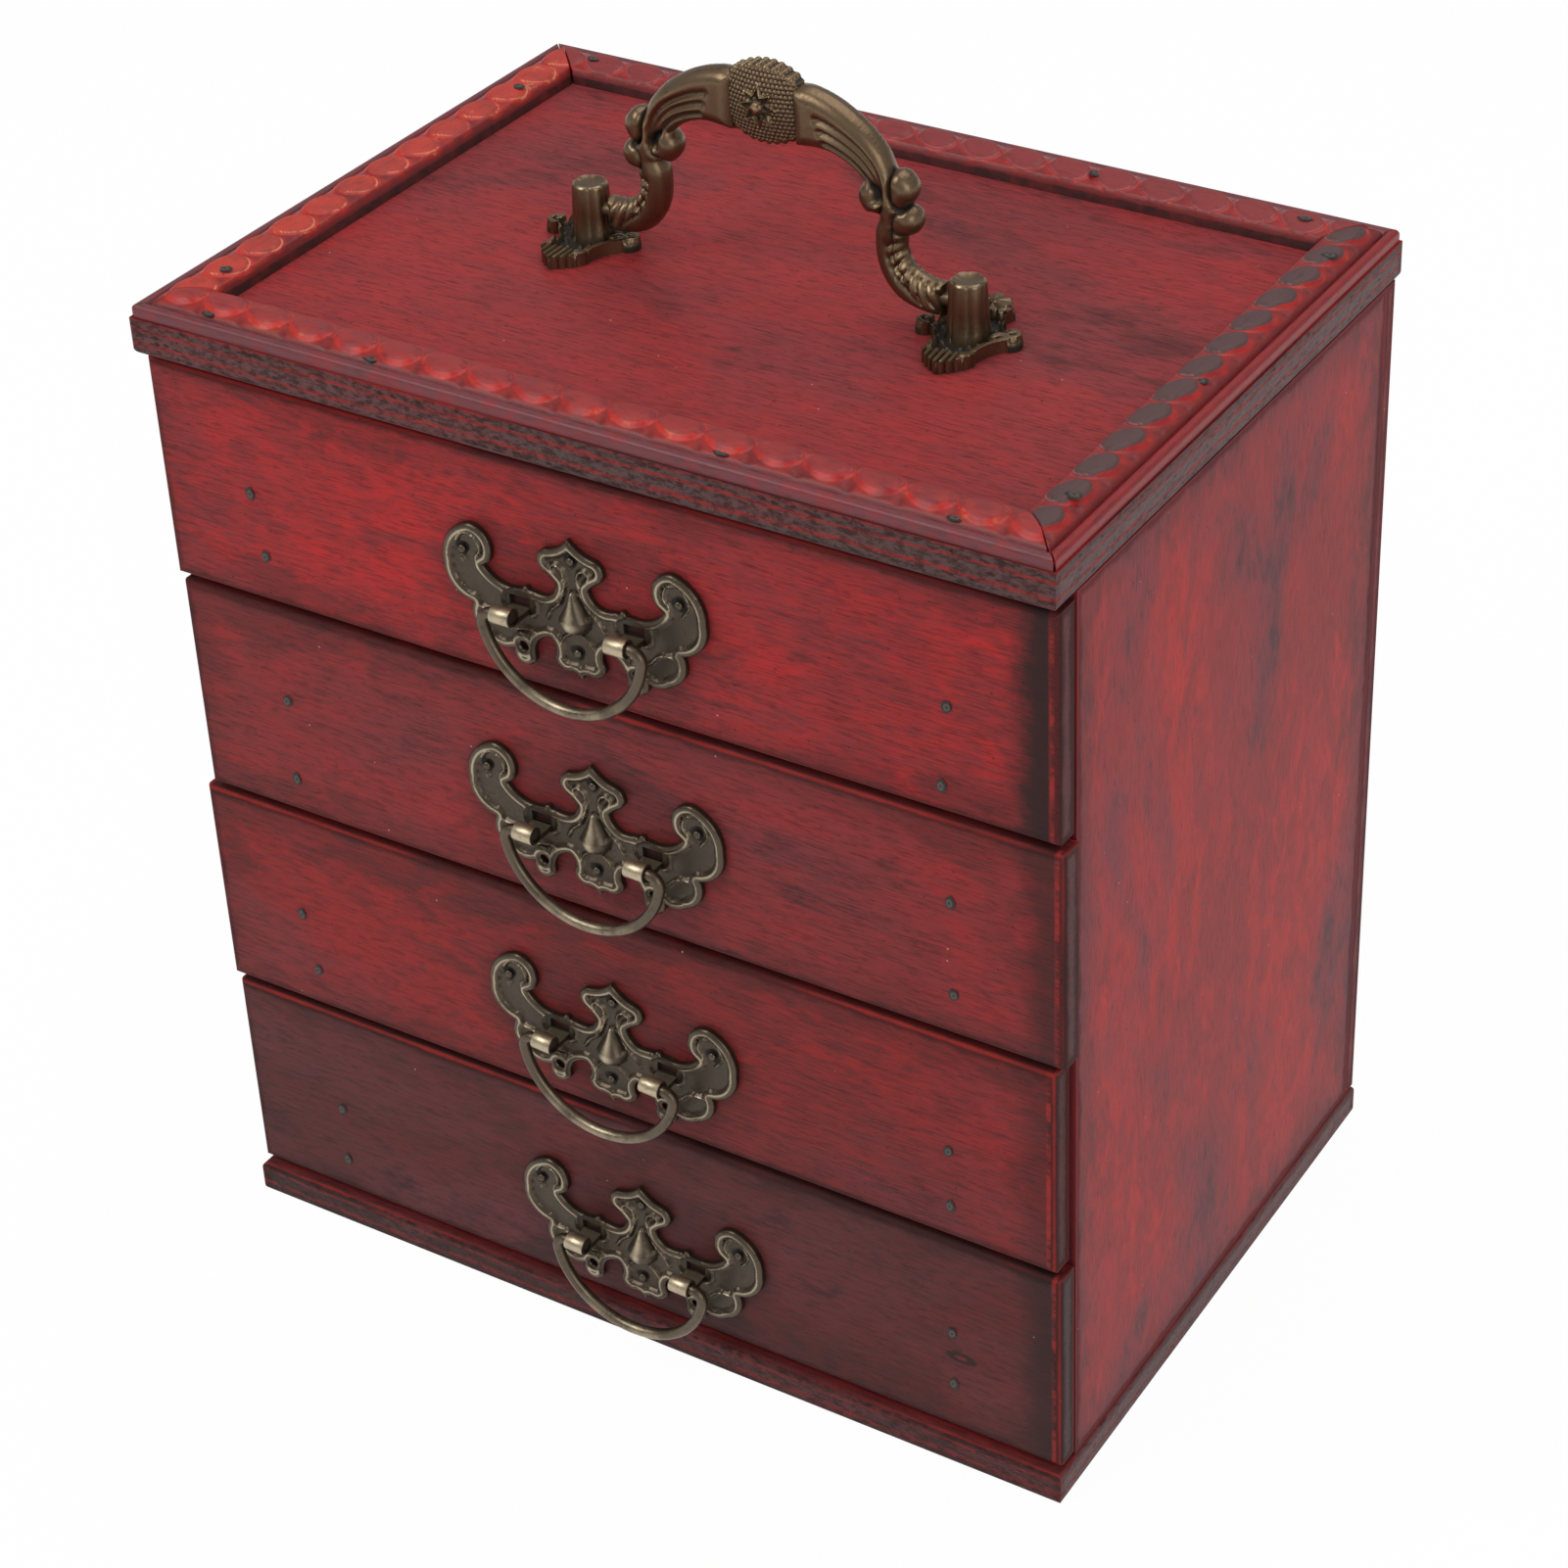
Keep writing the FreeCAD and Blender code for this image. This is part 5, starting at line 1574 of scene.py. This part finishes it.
@dataclass
class Handle:
    """Cast carrying handle: two leaf arms on a beaded boss, curled knuckles, scrolls and pins."""

    boss_half: float = 7.7
    boss_low: float = 23.4
    boss_high: float = 39.8
    boss_crown: float = 2.5
    boss_thick: float = 7.6
    star: float = 4.4
    arm_end: float = 38.55
    pin_tip: float = 43.95
    pin: float = 1.5
    arm_thick: float = 6.6
    arm_round: float = 2.8
    # stretches of the right arm's outline, which meet in corners
    outline: tuple = (
        ((6.4, 36.4), (10.4, 36.6), (16.2, 34.9), (22, 31.4), (25.9, 27.5), (27.7, 24)),
        ((27.7, 24), (30.2, 24.2), (32.4, 22.2), (32.7, 19.8), (31.5, 17.6)),
        ((31.5, 17.6), (33.2, 16.2), (33.6, 13.9), (32.4, 12), (30.3, 11.2)),
        ((30.3, 11.2), (30.1, 8.2), (31.3, 5.4), (34.2, 3.6), (38.5, 3.2)),
        ((38.5, 3.2), (38.5, -3.5)),
        ((38.5, -3.5), (33.6, -3.2), (29.2, -1.8), (25.9, 1.4), (24.1, 5.8), (23.9, 11.2), (24.9, 14.2)),
        ((24.9, 14.2), (22.9, 14.1), (21.4, 15.2), (20.4, 17.1), (20.6, 19.2), (21.9, 20.8)),
        ((21.9, 20.8), (18.8, 23.2), (13.6, 24.9), (6.4, 24.5)),
    )
    leaf_back: tuple = (
        (6.4, 36.4), (10.4, 36.6), (16.2, 34.9), (22, 31.4), (25.9, 27.5), (27.6, 23), (27.4, 18.6),
    )
    leaf_front: tuple = (
        (6.4, 24.5), (11, 24.8), (15, 24.4), (18.8, 23.2), (21.6, 21.2), (23.4, 19.4), (24, 17.4),
    )
    flutes: tuple[float, ...] = (0.4, 0.59, 0.78)
    # creases of the right arm: their lines, then how wide and how deep they are
    creases: tuple = (
        (((27.9, 24.3), (28.0, 21.4), (28.3, 18.6), (29.4, 17.4)), 0.42, 1.5),
        (((28.6, 17.8), (30.2, 17.0), (32.0, 17.9)), 0.4, 1.3),
        (((24.0, 20.6), (25.7, 19.2), (26.2, 17.0), (25.2, 15.2), (23.2, 14.6)), 0.42, 1.1),
        (((30.6, 16.6), (29.2, 15.9), (28.5, 14.2), (28.8, 12.4), (30.2, 11.4)), 0.36, 0.7),
        (((28.4, 12.4), (28.0, 8.6), (28.7, 5.6), (30.4, 3.2)), 0.36, 0.8),
    )
    scroll: tuple = ((38.5, -0.1), (34, 0.3), (30.2, 1.9), (28.2, 4.6), (27.1, 7.6), (27, 11.4))
    leaflets: float = 8.0

    def build(self, bronze: bpy.types.Material) -> None:
        """Make the whole handle as one casting.

        Args:
            bronze: Its finish.
        """
        body, arm = Body(), Body()
        self.add_boss(body)
        stretches = [curve(stretch, 0.42)[:-1] for stretch in self.outline]
        casting = Casting(np.vstack(stretches), [], self.arm_face, 0.34, two_faced=True)
        casting.build(arm, standing)
        arm.tube(((self.arm_end - 2.0, 0, 0), (self.pin_tip, 0, 0)), self.pin, 16, 0.3)
        body.join(arm, Matrix.Identity(4))
        body.join(arm, Matrix.Scale(-1, 4, Vector((1, 0, 0))))
        place = by_handle(find_joint("handle_swing")["pos_m"])
        piece = body.moved(place).make("handle_cast", bronze, 60)
        place_on(piece, "handle", "antique_bronze", "handle_bail")

    def arm_face(self, points: Points, depth: Points) -> tuple[Points, Points]:
        """Height and relief over an arm: rounded edges, flutes, creases and the scroll's leaflets.

        Args:
            points: Points on its face.
            depth: Distance of each from its edge.

        Returns:
            Height and relief.
        """
        full = self.arm_thick / 2
        share = np.clip(depth / self.arm_round, 0, 1)
        collar = smooth(points[:, 0], 11.5, 8.5)
        height = full * (0.06 + 0.94 * np.sqrt(1 - (1 - share) ** 2)) * (1 - 0.04 * (1 - collar))
        relief = 0.5 + 0.22 * share
        back, front = curve(self.leaf_back, count=40), curve(self.leaf_front, count=40)
        for number, part in enumerate(self.flutes):
            line = (back * (1 - part) + front * part)[7 + 2 * number:]
            far, along = beside(points, line)
            cut = near(far, 0.62) * smooth(along, 0.0, 0.08)
            height = height - 1.0 * cut
            relief = relief - 0.5 * cut + 0.22 * near(far - 1.0, 0.45) * smooth(along, 0, 0.1)
        for line, width, deep in self.creases:
            far, along = beside(points, curve(line, 0.4))
            cut = near(far, width)
            height = height - deep * cut
            relief = relief - 0.7 * cut
        height, relief = self.cut_leaflets(points, height, relief)
        return np.maximum(height, 0.06 * full), np.clip(relief, 0, 1)

    def cut_leaflets(self, points: Points, height: Points, relief: Points) -> tuple[Points, Points]:
        """Cut the slanting leaflets on the scroll's side towards the post.

        Args:
            points: Points on the arm's face.
            height: Heights so far.
            relief: Relief so far.

        Returns:
            Height and relief with the leaflets.
        """
        line = curve(self.scroll, 0.3)
        off, along = beside(points, line)
        limit = -0.1 + 3.6 * smooth(along, 0.42, 0.0)
        here = smooth(off, limit + 0.35, limit - 0.35) * smooth(along, 0.0, 0.03)
        here = here * smooth(along, 1.0, 0.9) * (np.abs(off) < 4.5)
        phase = along * self.leaflets + off * (0.2 + 0.1 * smooth(along, 0.5, 0))
        bulge = np.abs(np.sin(math.pi * phase)) ** 0.45
        band = near(off - limit, 0.32) * smooth(along, 0.2, 0.3) * smooth(along, 1.0, 0.9)
        height = height - here * (0.85 * (1 - bulge) + 0.15) - 0.5 * band
        relief = relief * (1 - here) + here * (0.1 + 0.8 * bulge) - 0.5 * band
        return height, relief

    def add_boss(self, body: Body) -> None:
        """Add the boss: a beaded pad with a star and a ball, and large beads above and below."""
        half, low, high, crown = self.boss_half, self.boss_low, self.boss_high, self.boss_crown
        stretches = (
            ((0, low), (half, low + crown)),
            ((half, high - crown),),
            ((0, high), (-half, high - crown)),
            ((-half, low + crown),),
        )
        line = follow((-half, low + crown), stretches, 0.4)[:-1]
        drawn_in = line * (1, 0.93) + (0, 0.07 * (low + high) / 2)
        Casting(drawn_in, [], self.boss_face, 0.2, two_faced=True).build(body, standing)
        bead = 1.0
        for x in np.linspace(-6.0, 6.0, 8):
            bow = crown * (x / half) ** 2 + 0.08
            for level in (low + bow + bead, high - bow - bead):
                for y in (-1.35, 0.0, 1.35):
                    body.ball((x, y * (1 - 0.3 * (x / half) ** 2), level), (0.88, 0.82, bead), 0.8, 12)

    def boss_face(self, points: Points, depth: Points) -> tuple[Points, Points]:
        """Height and relief over the boss.

        Args:
            points: Points on its face.
            depth: Distance of each from its edge.

        Returns:
            Height and relief.
        """
        full = self.boss_thick / 2
        x, z = points[:, 0], points[:, 1] - (self.boss_low + self.boss_high) / 2
        reach, angle = np.hypot(x, z), np.arctan2(z, x)
        swell = full - 1.9 * (z / 8.2) ** 2 - 1.5 * (x / 7.7) ** 2 - 0.25 * smooth(depth, 0.6, 0)
        pitch = 0.88
        row = np.floor(z / pitch + 0.5)
        across = ((x / pitch + 0.5 * (row % 2) + 0.5) % 1 - 0.5) * pitch
        beads = np.sqrt(np.clip(1 - (across ** 2 + (z - row * pitch) ** 2) / 0.165, 0, 1))
        height, relief = swell - 0.35 + 0.35 * beads, 0.12 + 0.68 * beads
        swing = ((angle / (2 * math.pi) * 8 + 0.5) % 1 - 0.5) * math.pi / 4
        outward, aside = reach * np.cos(swing), np.abs(reach * np.sin(swing))
        wide = 1.05 * np.minimum(outward / 1.9, (self.star - outward) / (self.star - 1.9))
        inner = smooth(wide - aside, -0.25, 0.05)
        edge = near(wide - aside - 0.12, 0.24) * (outward < self.star + 0.3)
        star = swell - 0.55 + 0.95 * edge
        height = height * (1 - inner) + star * inner
        relief = relief * (1 - inner) + (0.05 + 0.95 * edge) * inner
        ball = np.sqrt(np.clip(1 - (reach / 1.35) ** 2, 0, 1))
        height = np.maximum(height, np.where(ball > 0, full + 0.9 * ball, 0))
        return height, np.maximum(relief, 0.95 * ball)


@dataclass
class Foot:
    """Foot of the handle: bars and curls on a dark diamond, with a fluted post that tapers."""

    side: str
    turn: float
    thick: float = 2.8
    floor: float = 0.6
    post: float = 12.5
    post_radius: float = 4.3
    post_taper: float = 3
    tip: tuple[float, float] = (0, -15.5)
    edge: tuple = (
        ((2.9, -13.6), (5.2, -10.2)),
        ((4.4, -7.6),),
        ((5.6, -4), (7.4, -1.4)),
        ((9.9, -1.8), (10.8, 0)),
    )
    # the same for the front right, where a bar fills the notch
    bar_edge: tuple = (
        ((2.9, -13.6), (5.4, -10.4)),
        ((5.2, -8.8),),
        ((6.4, -5.4), (8.6, -2.7)),
        ((10.0, -2.2), (10.8, 0)),
    )
    ribs: float = 1.3
    # bars and curls: their lines from above, and half their width
    bars: tuple = (
        (((4.6, -8.8), (5.5, -6.2), (7.2, -3.4), (8.3, -2.0), (7.9, -0.8), (6.6, -0.8), (5.9, -1.9)), 0.8),
        (((9.0, -1.2), (10.0, 0.2), (9.2, 1.4), (8.2, 0.6)), 0.62),
        (((-3.8, -9.8), (-4.6, -7.4), (-6.2, -5.2), (-6.0, -3.2), (-7.8, -1.6)), 0.6),
        (((-8.4, -1.6), (-10.0, -0.6), (-9.8, 1.0), (-8.4, 1.0), (-8.6, 0.0)), 0.6),
        (((9.2, 1.2), (7.4, 2.2), (6.0, 4.0), (6.6, 5.4), (7.4, 4.6)), 0.55),
        (((6.2, 4.2), (5.0, 6.8), (4.4, 9.2), (3.0, 8.6), (3.4, 7.4)), 0.6),
        (((-9.0, 1.4), (-7.2, 2.4), (-5.8, 4.4), (-6.4, 5.6), (-7.2, 4.8)), 0.55),
        (((-6.0, 4.6), (-4.8, 7.0), (-4.2, 9.4), (-2.8, 8.8), (-3.2, 7.6)), 0.6),
        (((3.6, -10.6), (4.6, -10.4)), 1.1),
    )
    leaf_at: tuple[float, float] = (0, 11.2)

    def build(self, bronze: bpy.types.Material) -> None:
        """Make the foot.

        Args:
            bronze: Its finish.
        """
        node = f"handle_foot_{self.side}"
        low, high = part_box(node)
        middle = (low + high) / 2
        place = by_handle((middle.x, middle.y, low.z))
        plate, post, whole = Body(), Body(), Body()
        Casting(self.outline(), [], self.face, 0.28).build(plate, lying)
        whole.join(plate, place @ Matrix.Rotation(math.radians(self.turn), 4, "Z"))
        self.add_post(post)
        whole.join(post, place)
        place_on(whole.make(f"{node}_cast", bronze, 40), "case", "antique_bronze", node)

    def outline(self) -> Points:
        """Closed outline of the plate, in millimetres about the post."""
        plain, barred = (
            self.cut_ribs(follow(self.tip, edge, 0.25)) for edge in (self.edge, self.bar_edge)
        )
        right = np.vstack([barred, plain[-2::-1] * (1, -1)])
        left = np.vstack([plain, plain[-2::-1] * (1, -1)])
        return np.vstack([right, left[-2:0:-1] * (-1, 1)])

    def cut_ribs(self, quarter: Points) -> Points:
        """Notch a quarter of the outline between the ribs of its fan."""
        gaps = 1 - np.abs(np.sin(math.pi * quarter[:, 0] / self.ribs)) ** 0.5
        notched = quarter.copy()
        notched[1:, 1] += (0.9 * gaps * smooth(quarter[:, 1], -10.0, -10.8))[1:]
        return notched

    def face(self, points: Points, depth: Points) -> tuple[Points, Points]:
        """Height and relief of the plate: a dark floor, bars and curls, a ribbed fan and a leaf.

        Args:
            points: Points on the plate.
            depth: Distance of each from its edge.

        Returns:
            Height and relief.
        """
        x, y = points[:, 0], points[:, 1]
        rubble = np.maximum(0, np.sin(x * 1.7 + 1 + np.sin(y * 1.3)) * np.sin(y * 1.9 + x * 0.6)) ** 2
        raised, relief = 0.35 * rubble, 0.03 + 0.25 * rubble
        for line, half in self.bars:
            far = np.abs(beside(points, curve(line, 0.3))[0])
            wall = smooth(far, half + 0.2, half - 0.1)
            raised = np.maximum(raised, wall * (0.9 + 0.1 * near(far, half)))
            relief = np.maximum(relief, wall * (0.5 + 0.35 * near(far - half * 0.7, 0.3)))
        fan = smooth(y, -9.6, -10.1)
        rib = np.abs(np.sin(math.pi * x / self.ribs)) ** 0.5
        raised = np.maximum(raised, fan * (0.2 + 0.8 * rib))
        relief = np.maximum(relief, fan * (0.05 + 0.75 * rib))
        leaf_x, leaf_y = self.leaf_at
        reach, angle = np.hypot(x - leaf_x, y - leaf_y), np.arctan2(x - leaf_x, y - leaf_y)
        lobe = smooth(reach, 4.2, 3.7) * (0.5 + 0.5 * np.abs(np.cos(angle * 3.5)) ** 0.6)
        raised = np.maximum(raised, lobe * (y > 7.6))
        relief = np.maximum(relief, 0.75 * lobe * (y > 7.6))
        border = near(depth - 0.35, 0.4) * 0.55
        raised = np.maximum(raised, border)
        height = self.floor + (self.thick - self.floor) * raised
        return height, np.maximum(relief, 0.6 * border)

    def add_post(self, body: Body) -> None:
        """Add the post: six rounded ridges with shallow flutes between them, and a dished top."""
        turns = full_turn(72)
        ridge = np.abs(np.cos(3 * (turns - math.pi / 6))) ** 0.8
        slope = math.tan(math.radians(self.post_taper))
        rows, shares = [], []
        for height, inset, relief in (
            (0.5, -0.4, 0.1), (self.floor + 0.3, -0.4, 0.35), (self.floor + 1.2, 0, 0.4),
            (self.post * 0.5, 0, 0.42), (self.post - 0.7, 0, 0.5), (self.post - 0.2, 0.18, 0.85),
            (self.post, 0.55, 0.75), (self.post - 0.15, 1.0, 0.45), (self.post - 0.35, 1.7, 0.4),
            (self.post - 0.4, 3.4, 0.45),
        ):
            radius = (self.post_radius - height * slope - inset) * (0.88 + 0.105 * ridge)
            rows.append(columns(radius * np.cos(turns), radius * np.sin(turns), height))
            shares.append(relief + 0.3 * (ridge - 0.5))
        body.grid(np.array(rows), np.clip(np.array(shares), 0, 1), around=True, capped=True)


@dataclass
class Nails:
    """Nails of one node: ragged flat heads, each with a flat dark ring of painted shade round it, on plain
    shanks.
    """

    node: str
    body: str
    radius: float = 0.92
    shank: float = 0.55
    # rings of a head: their reach as a share of its radius, their height and their relief
    rings: tuple = (
        # the two outer rings lie flat on the board at relief 0: a dark ring of painted shade where the dent
        # round each head would be
        (1.5, 0.02, 0.0), (1.05, 0.05, 0.0), (0.95, 0.14, 0.75),
        (0.55, 0.2, 0.9), (0.2, 0.1, 0.45), (0.02, 0.1, 0.4),
    )
    look_from: float = 10 * MM
    look_within: float = 4 * MM

    def build(self, steel: bpy.types.Material, under: Sequence[bpy.types.Object] = ()) -> None:
        """Make all nails of the node.

        Args:
            steel: Their finish.
            under: Pieces whose surface the heads lie on, or none for the heads' own places.
        """
        body = Body()
        for number, (head, way, long) in enumerate(self.places()):
            head = self.settle(head, way, under)
            turned = way.to_track_quat("Z", "X").to_matrix().to_4x4()
            place = Matrix.Translation(head) @ turned @ Matrix.Scale(MM, 4)
            body.join(self.nail(number, long / MM), place)
        piece = body.make(f"{self.node}_heads", steel, 40)
        place_on(piece, self.body, "nail_steel", self.node)

    def places(self) -> list[tuple[Vector, Vector, float]]:
        """Middle of each head's face, the way that it looks and the nail's length, from the node."""
        shape = bmesh.new()
        shape.from_mesh(frame["nodes"][self.node].data)
        bmesh.ops.remove_doubles(shape, verts=shape.verts, dist=0.001 * MM)
        left, found = set(shape.verts), []
        while left:
            heap, island = [left.pop()], []
            while heap:
                corner = heap.pop()
                island.append(corner.co.copy())
                for edge in corner.link_edges:
                    other = edge.other_vert(corner)
                    if other in left:
                        left.remove(other)
                        heap.append(other)
            found.append(self.read(np.array(island)))
        shape.free()
        return sorted(found, key=lambda nail: tuple(round(value, 5) for value in nail[0]))

    @staticmethod
    def read(points: Points) -> tuple[Vector, Vector, float]:
        """Find the head's face, its way and the length of one nail from its corners."""
        middle = points.mean(0)
        way = np.linalg.svd(points - middle)[2][0]
        along = (points - middle) @ way
        spread = np.linalg.norm(points - middle - along[:, None] * way, axis=1)
        if along[np.argmax(spread)] < 0:
            way, along = -way, -along
        level = along.max()
        face = points[along > level - 0.05 * MM].mean(0)
        return Vector(face), Vector(way), float(level - along.min())

    def settle(self, head: Vector, way: Vector, under: Sequence[bpy.types.Object]) -> Vector:
        """Move a head along its way on to the surface of the pieces under it, if any is there."""
        for piece in under:
            hit, place = piece.ray_cast(head + way * self.look_from, -way)[:2]
            if hit and (place - head).length < self.look_within:
                return place
        return head

    def nail(self, number: int, long: float) -> Body:
        """Make one nail, its head's face at the origin and its shank down.

        Args:
            number: Its number, which gives the head its own ragged edge.
            long: Its length in millimetres.

        Returns:
            The nail.
        """
        turns = full_turn(20)
        ragged = 1 + 0.14 * np.sin(2 * turns + number * 1.7) + 0.08 * np.sin(5 * turns + number * 2.9)
        rows, shares = [], []
        for reach, height, relief in self.rings:
            radius = self.radius * reach
            squeezed = 0.78 * np.sin(turns) + (0.12 * math.sin(number * 2.3) if reach > 1 else 0)
            rows.append(columns(radius * ragged * np.cos(turns), radius * squeezed, height))
            shares.append(np.full(len(turns), relief))
        body = Body()
        body.grid(np.array(rows), np.array(shares), around=True)
        shank = ((0, 0, 0), (0, 0, -long * 0.85), (0, 0, -long))
        body.tube(shank, [self.shank, self.shank, 0.1], 8, 0.4)
        return body


def main() -> None:
    """Build and dress the box in order, and report each piece."""
    logging.basicConfig(level=logging.INFO, format="%(message)s")
    bpy.context.scene.view_settings.view_transform = "Standard"
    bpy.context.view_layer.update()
    Studio().build()
    log.info("studio ready")
    Boards().build()
    log.info("boards dressed")
    strips = []
    # the four strips get lit and shaded copies of one carved finish: the left strip's orange and cream tops
    # are painted highlights, the right strip's dark tops painted shade
    for side, turn, grain, carved in (
        ("front", 0, Grain.ACROSS, CarvedWood(worn=0.6, bright=0.8)),
        ("back", 180, Grain.ACROSS, CarvedWood(bright=0.6)),
        ("left", -90, Grain.DEPTH, CarvedWood(
            bright=1.0, worn=0.55,
            top=paint(172, 66, 52), cream=paint(240, 172, 126), rim=paint(226, 146, 112),
        )),
        ("right", 90, Grain.DEPTH, CarvedWood(
            bright=0.45, worn=1.0, top=paint(86, 60, 60), fascia=paint(132, 38, 40),
        )),
    ):
        finish = carved.build(f"carved_{side}", grain, 4.0 + turn / 45)
        strips.append(Moulding(f"moulding_{side}", turn).build(finish))
        log.info("moulding %s carved", side)
    bronze = AgedBronze().build("bronze_cast", 0.5)
    wire = AgedBronze(body=paint(96, 84, 70)).build("bronze_wire", 0.75)
    for number in range(1, 5):
        Pull(number).build(bronze, wire)
        log.info("pull %d made", number)
    cast = AgedBronze(body=paint(116, 96, 74), brass=paint(170, 148, 114)).build("bronze_handle", 0.55)
    Handle().build(cast)
    for side, turn in (("left", 1.6), ("right", 7.6)):
        Foot(side, turn).build(cast)
    log.info("handle made")
    steel = NailSteel().build("nail_black")
    Nails("case_nails", "case").build(steel)
    Nails("handle_screws", "case", 2.8, 1.3).build(steel)
    Nails("moulding_nails", "case", 1.1, 0.45).build(steel, strips)
    for number in range(1, 5):
        Nails(f"drawer_{number}_nails", f"drawer_{number}").build(steel)
    log.info("nails driven")


if __name__ == "__main__":
    main()
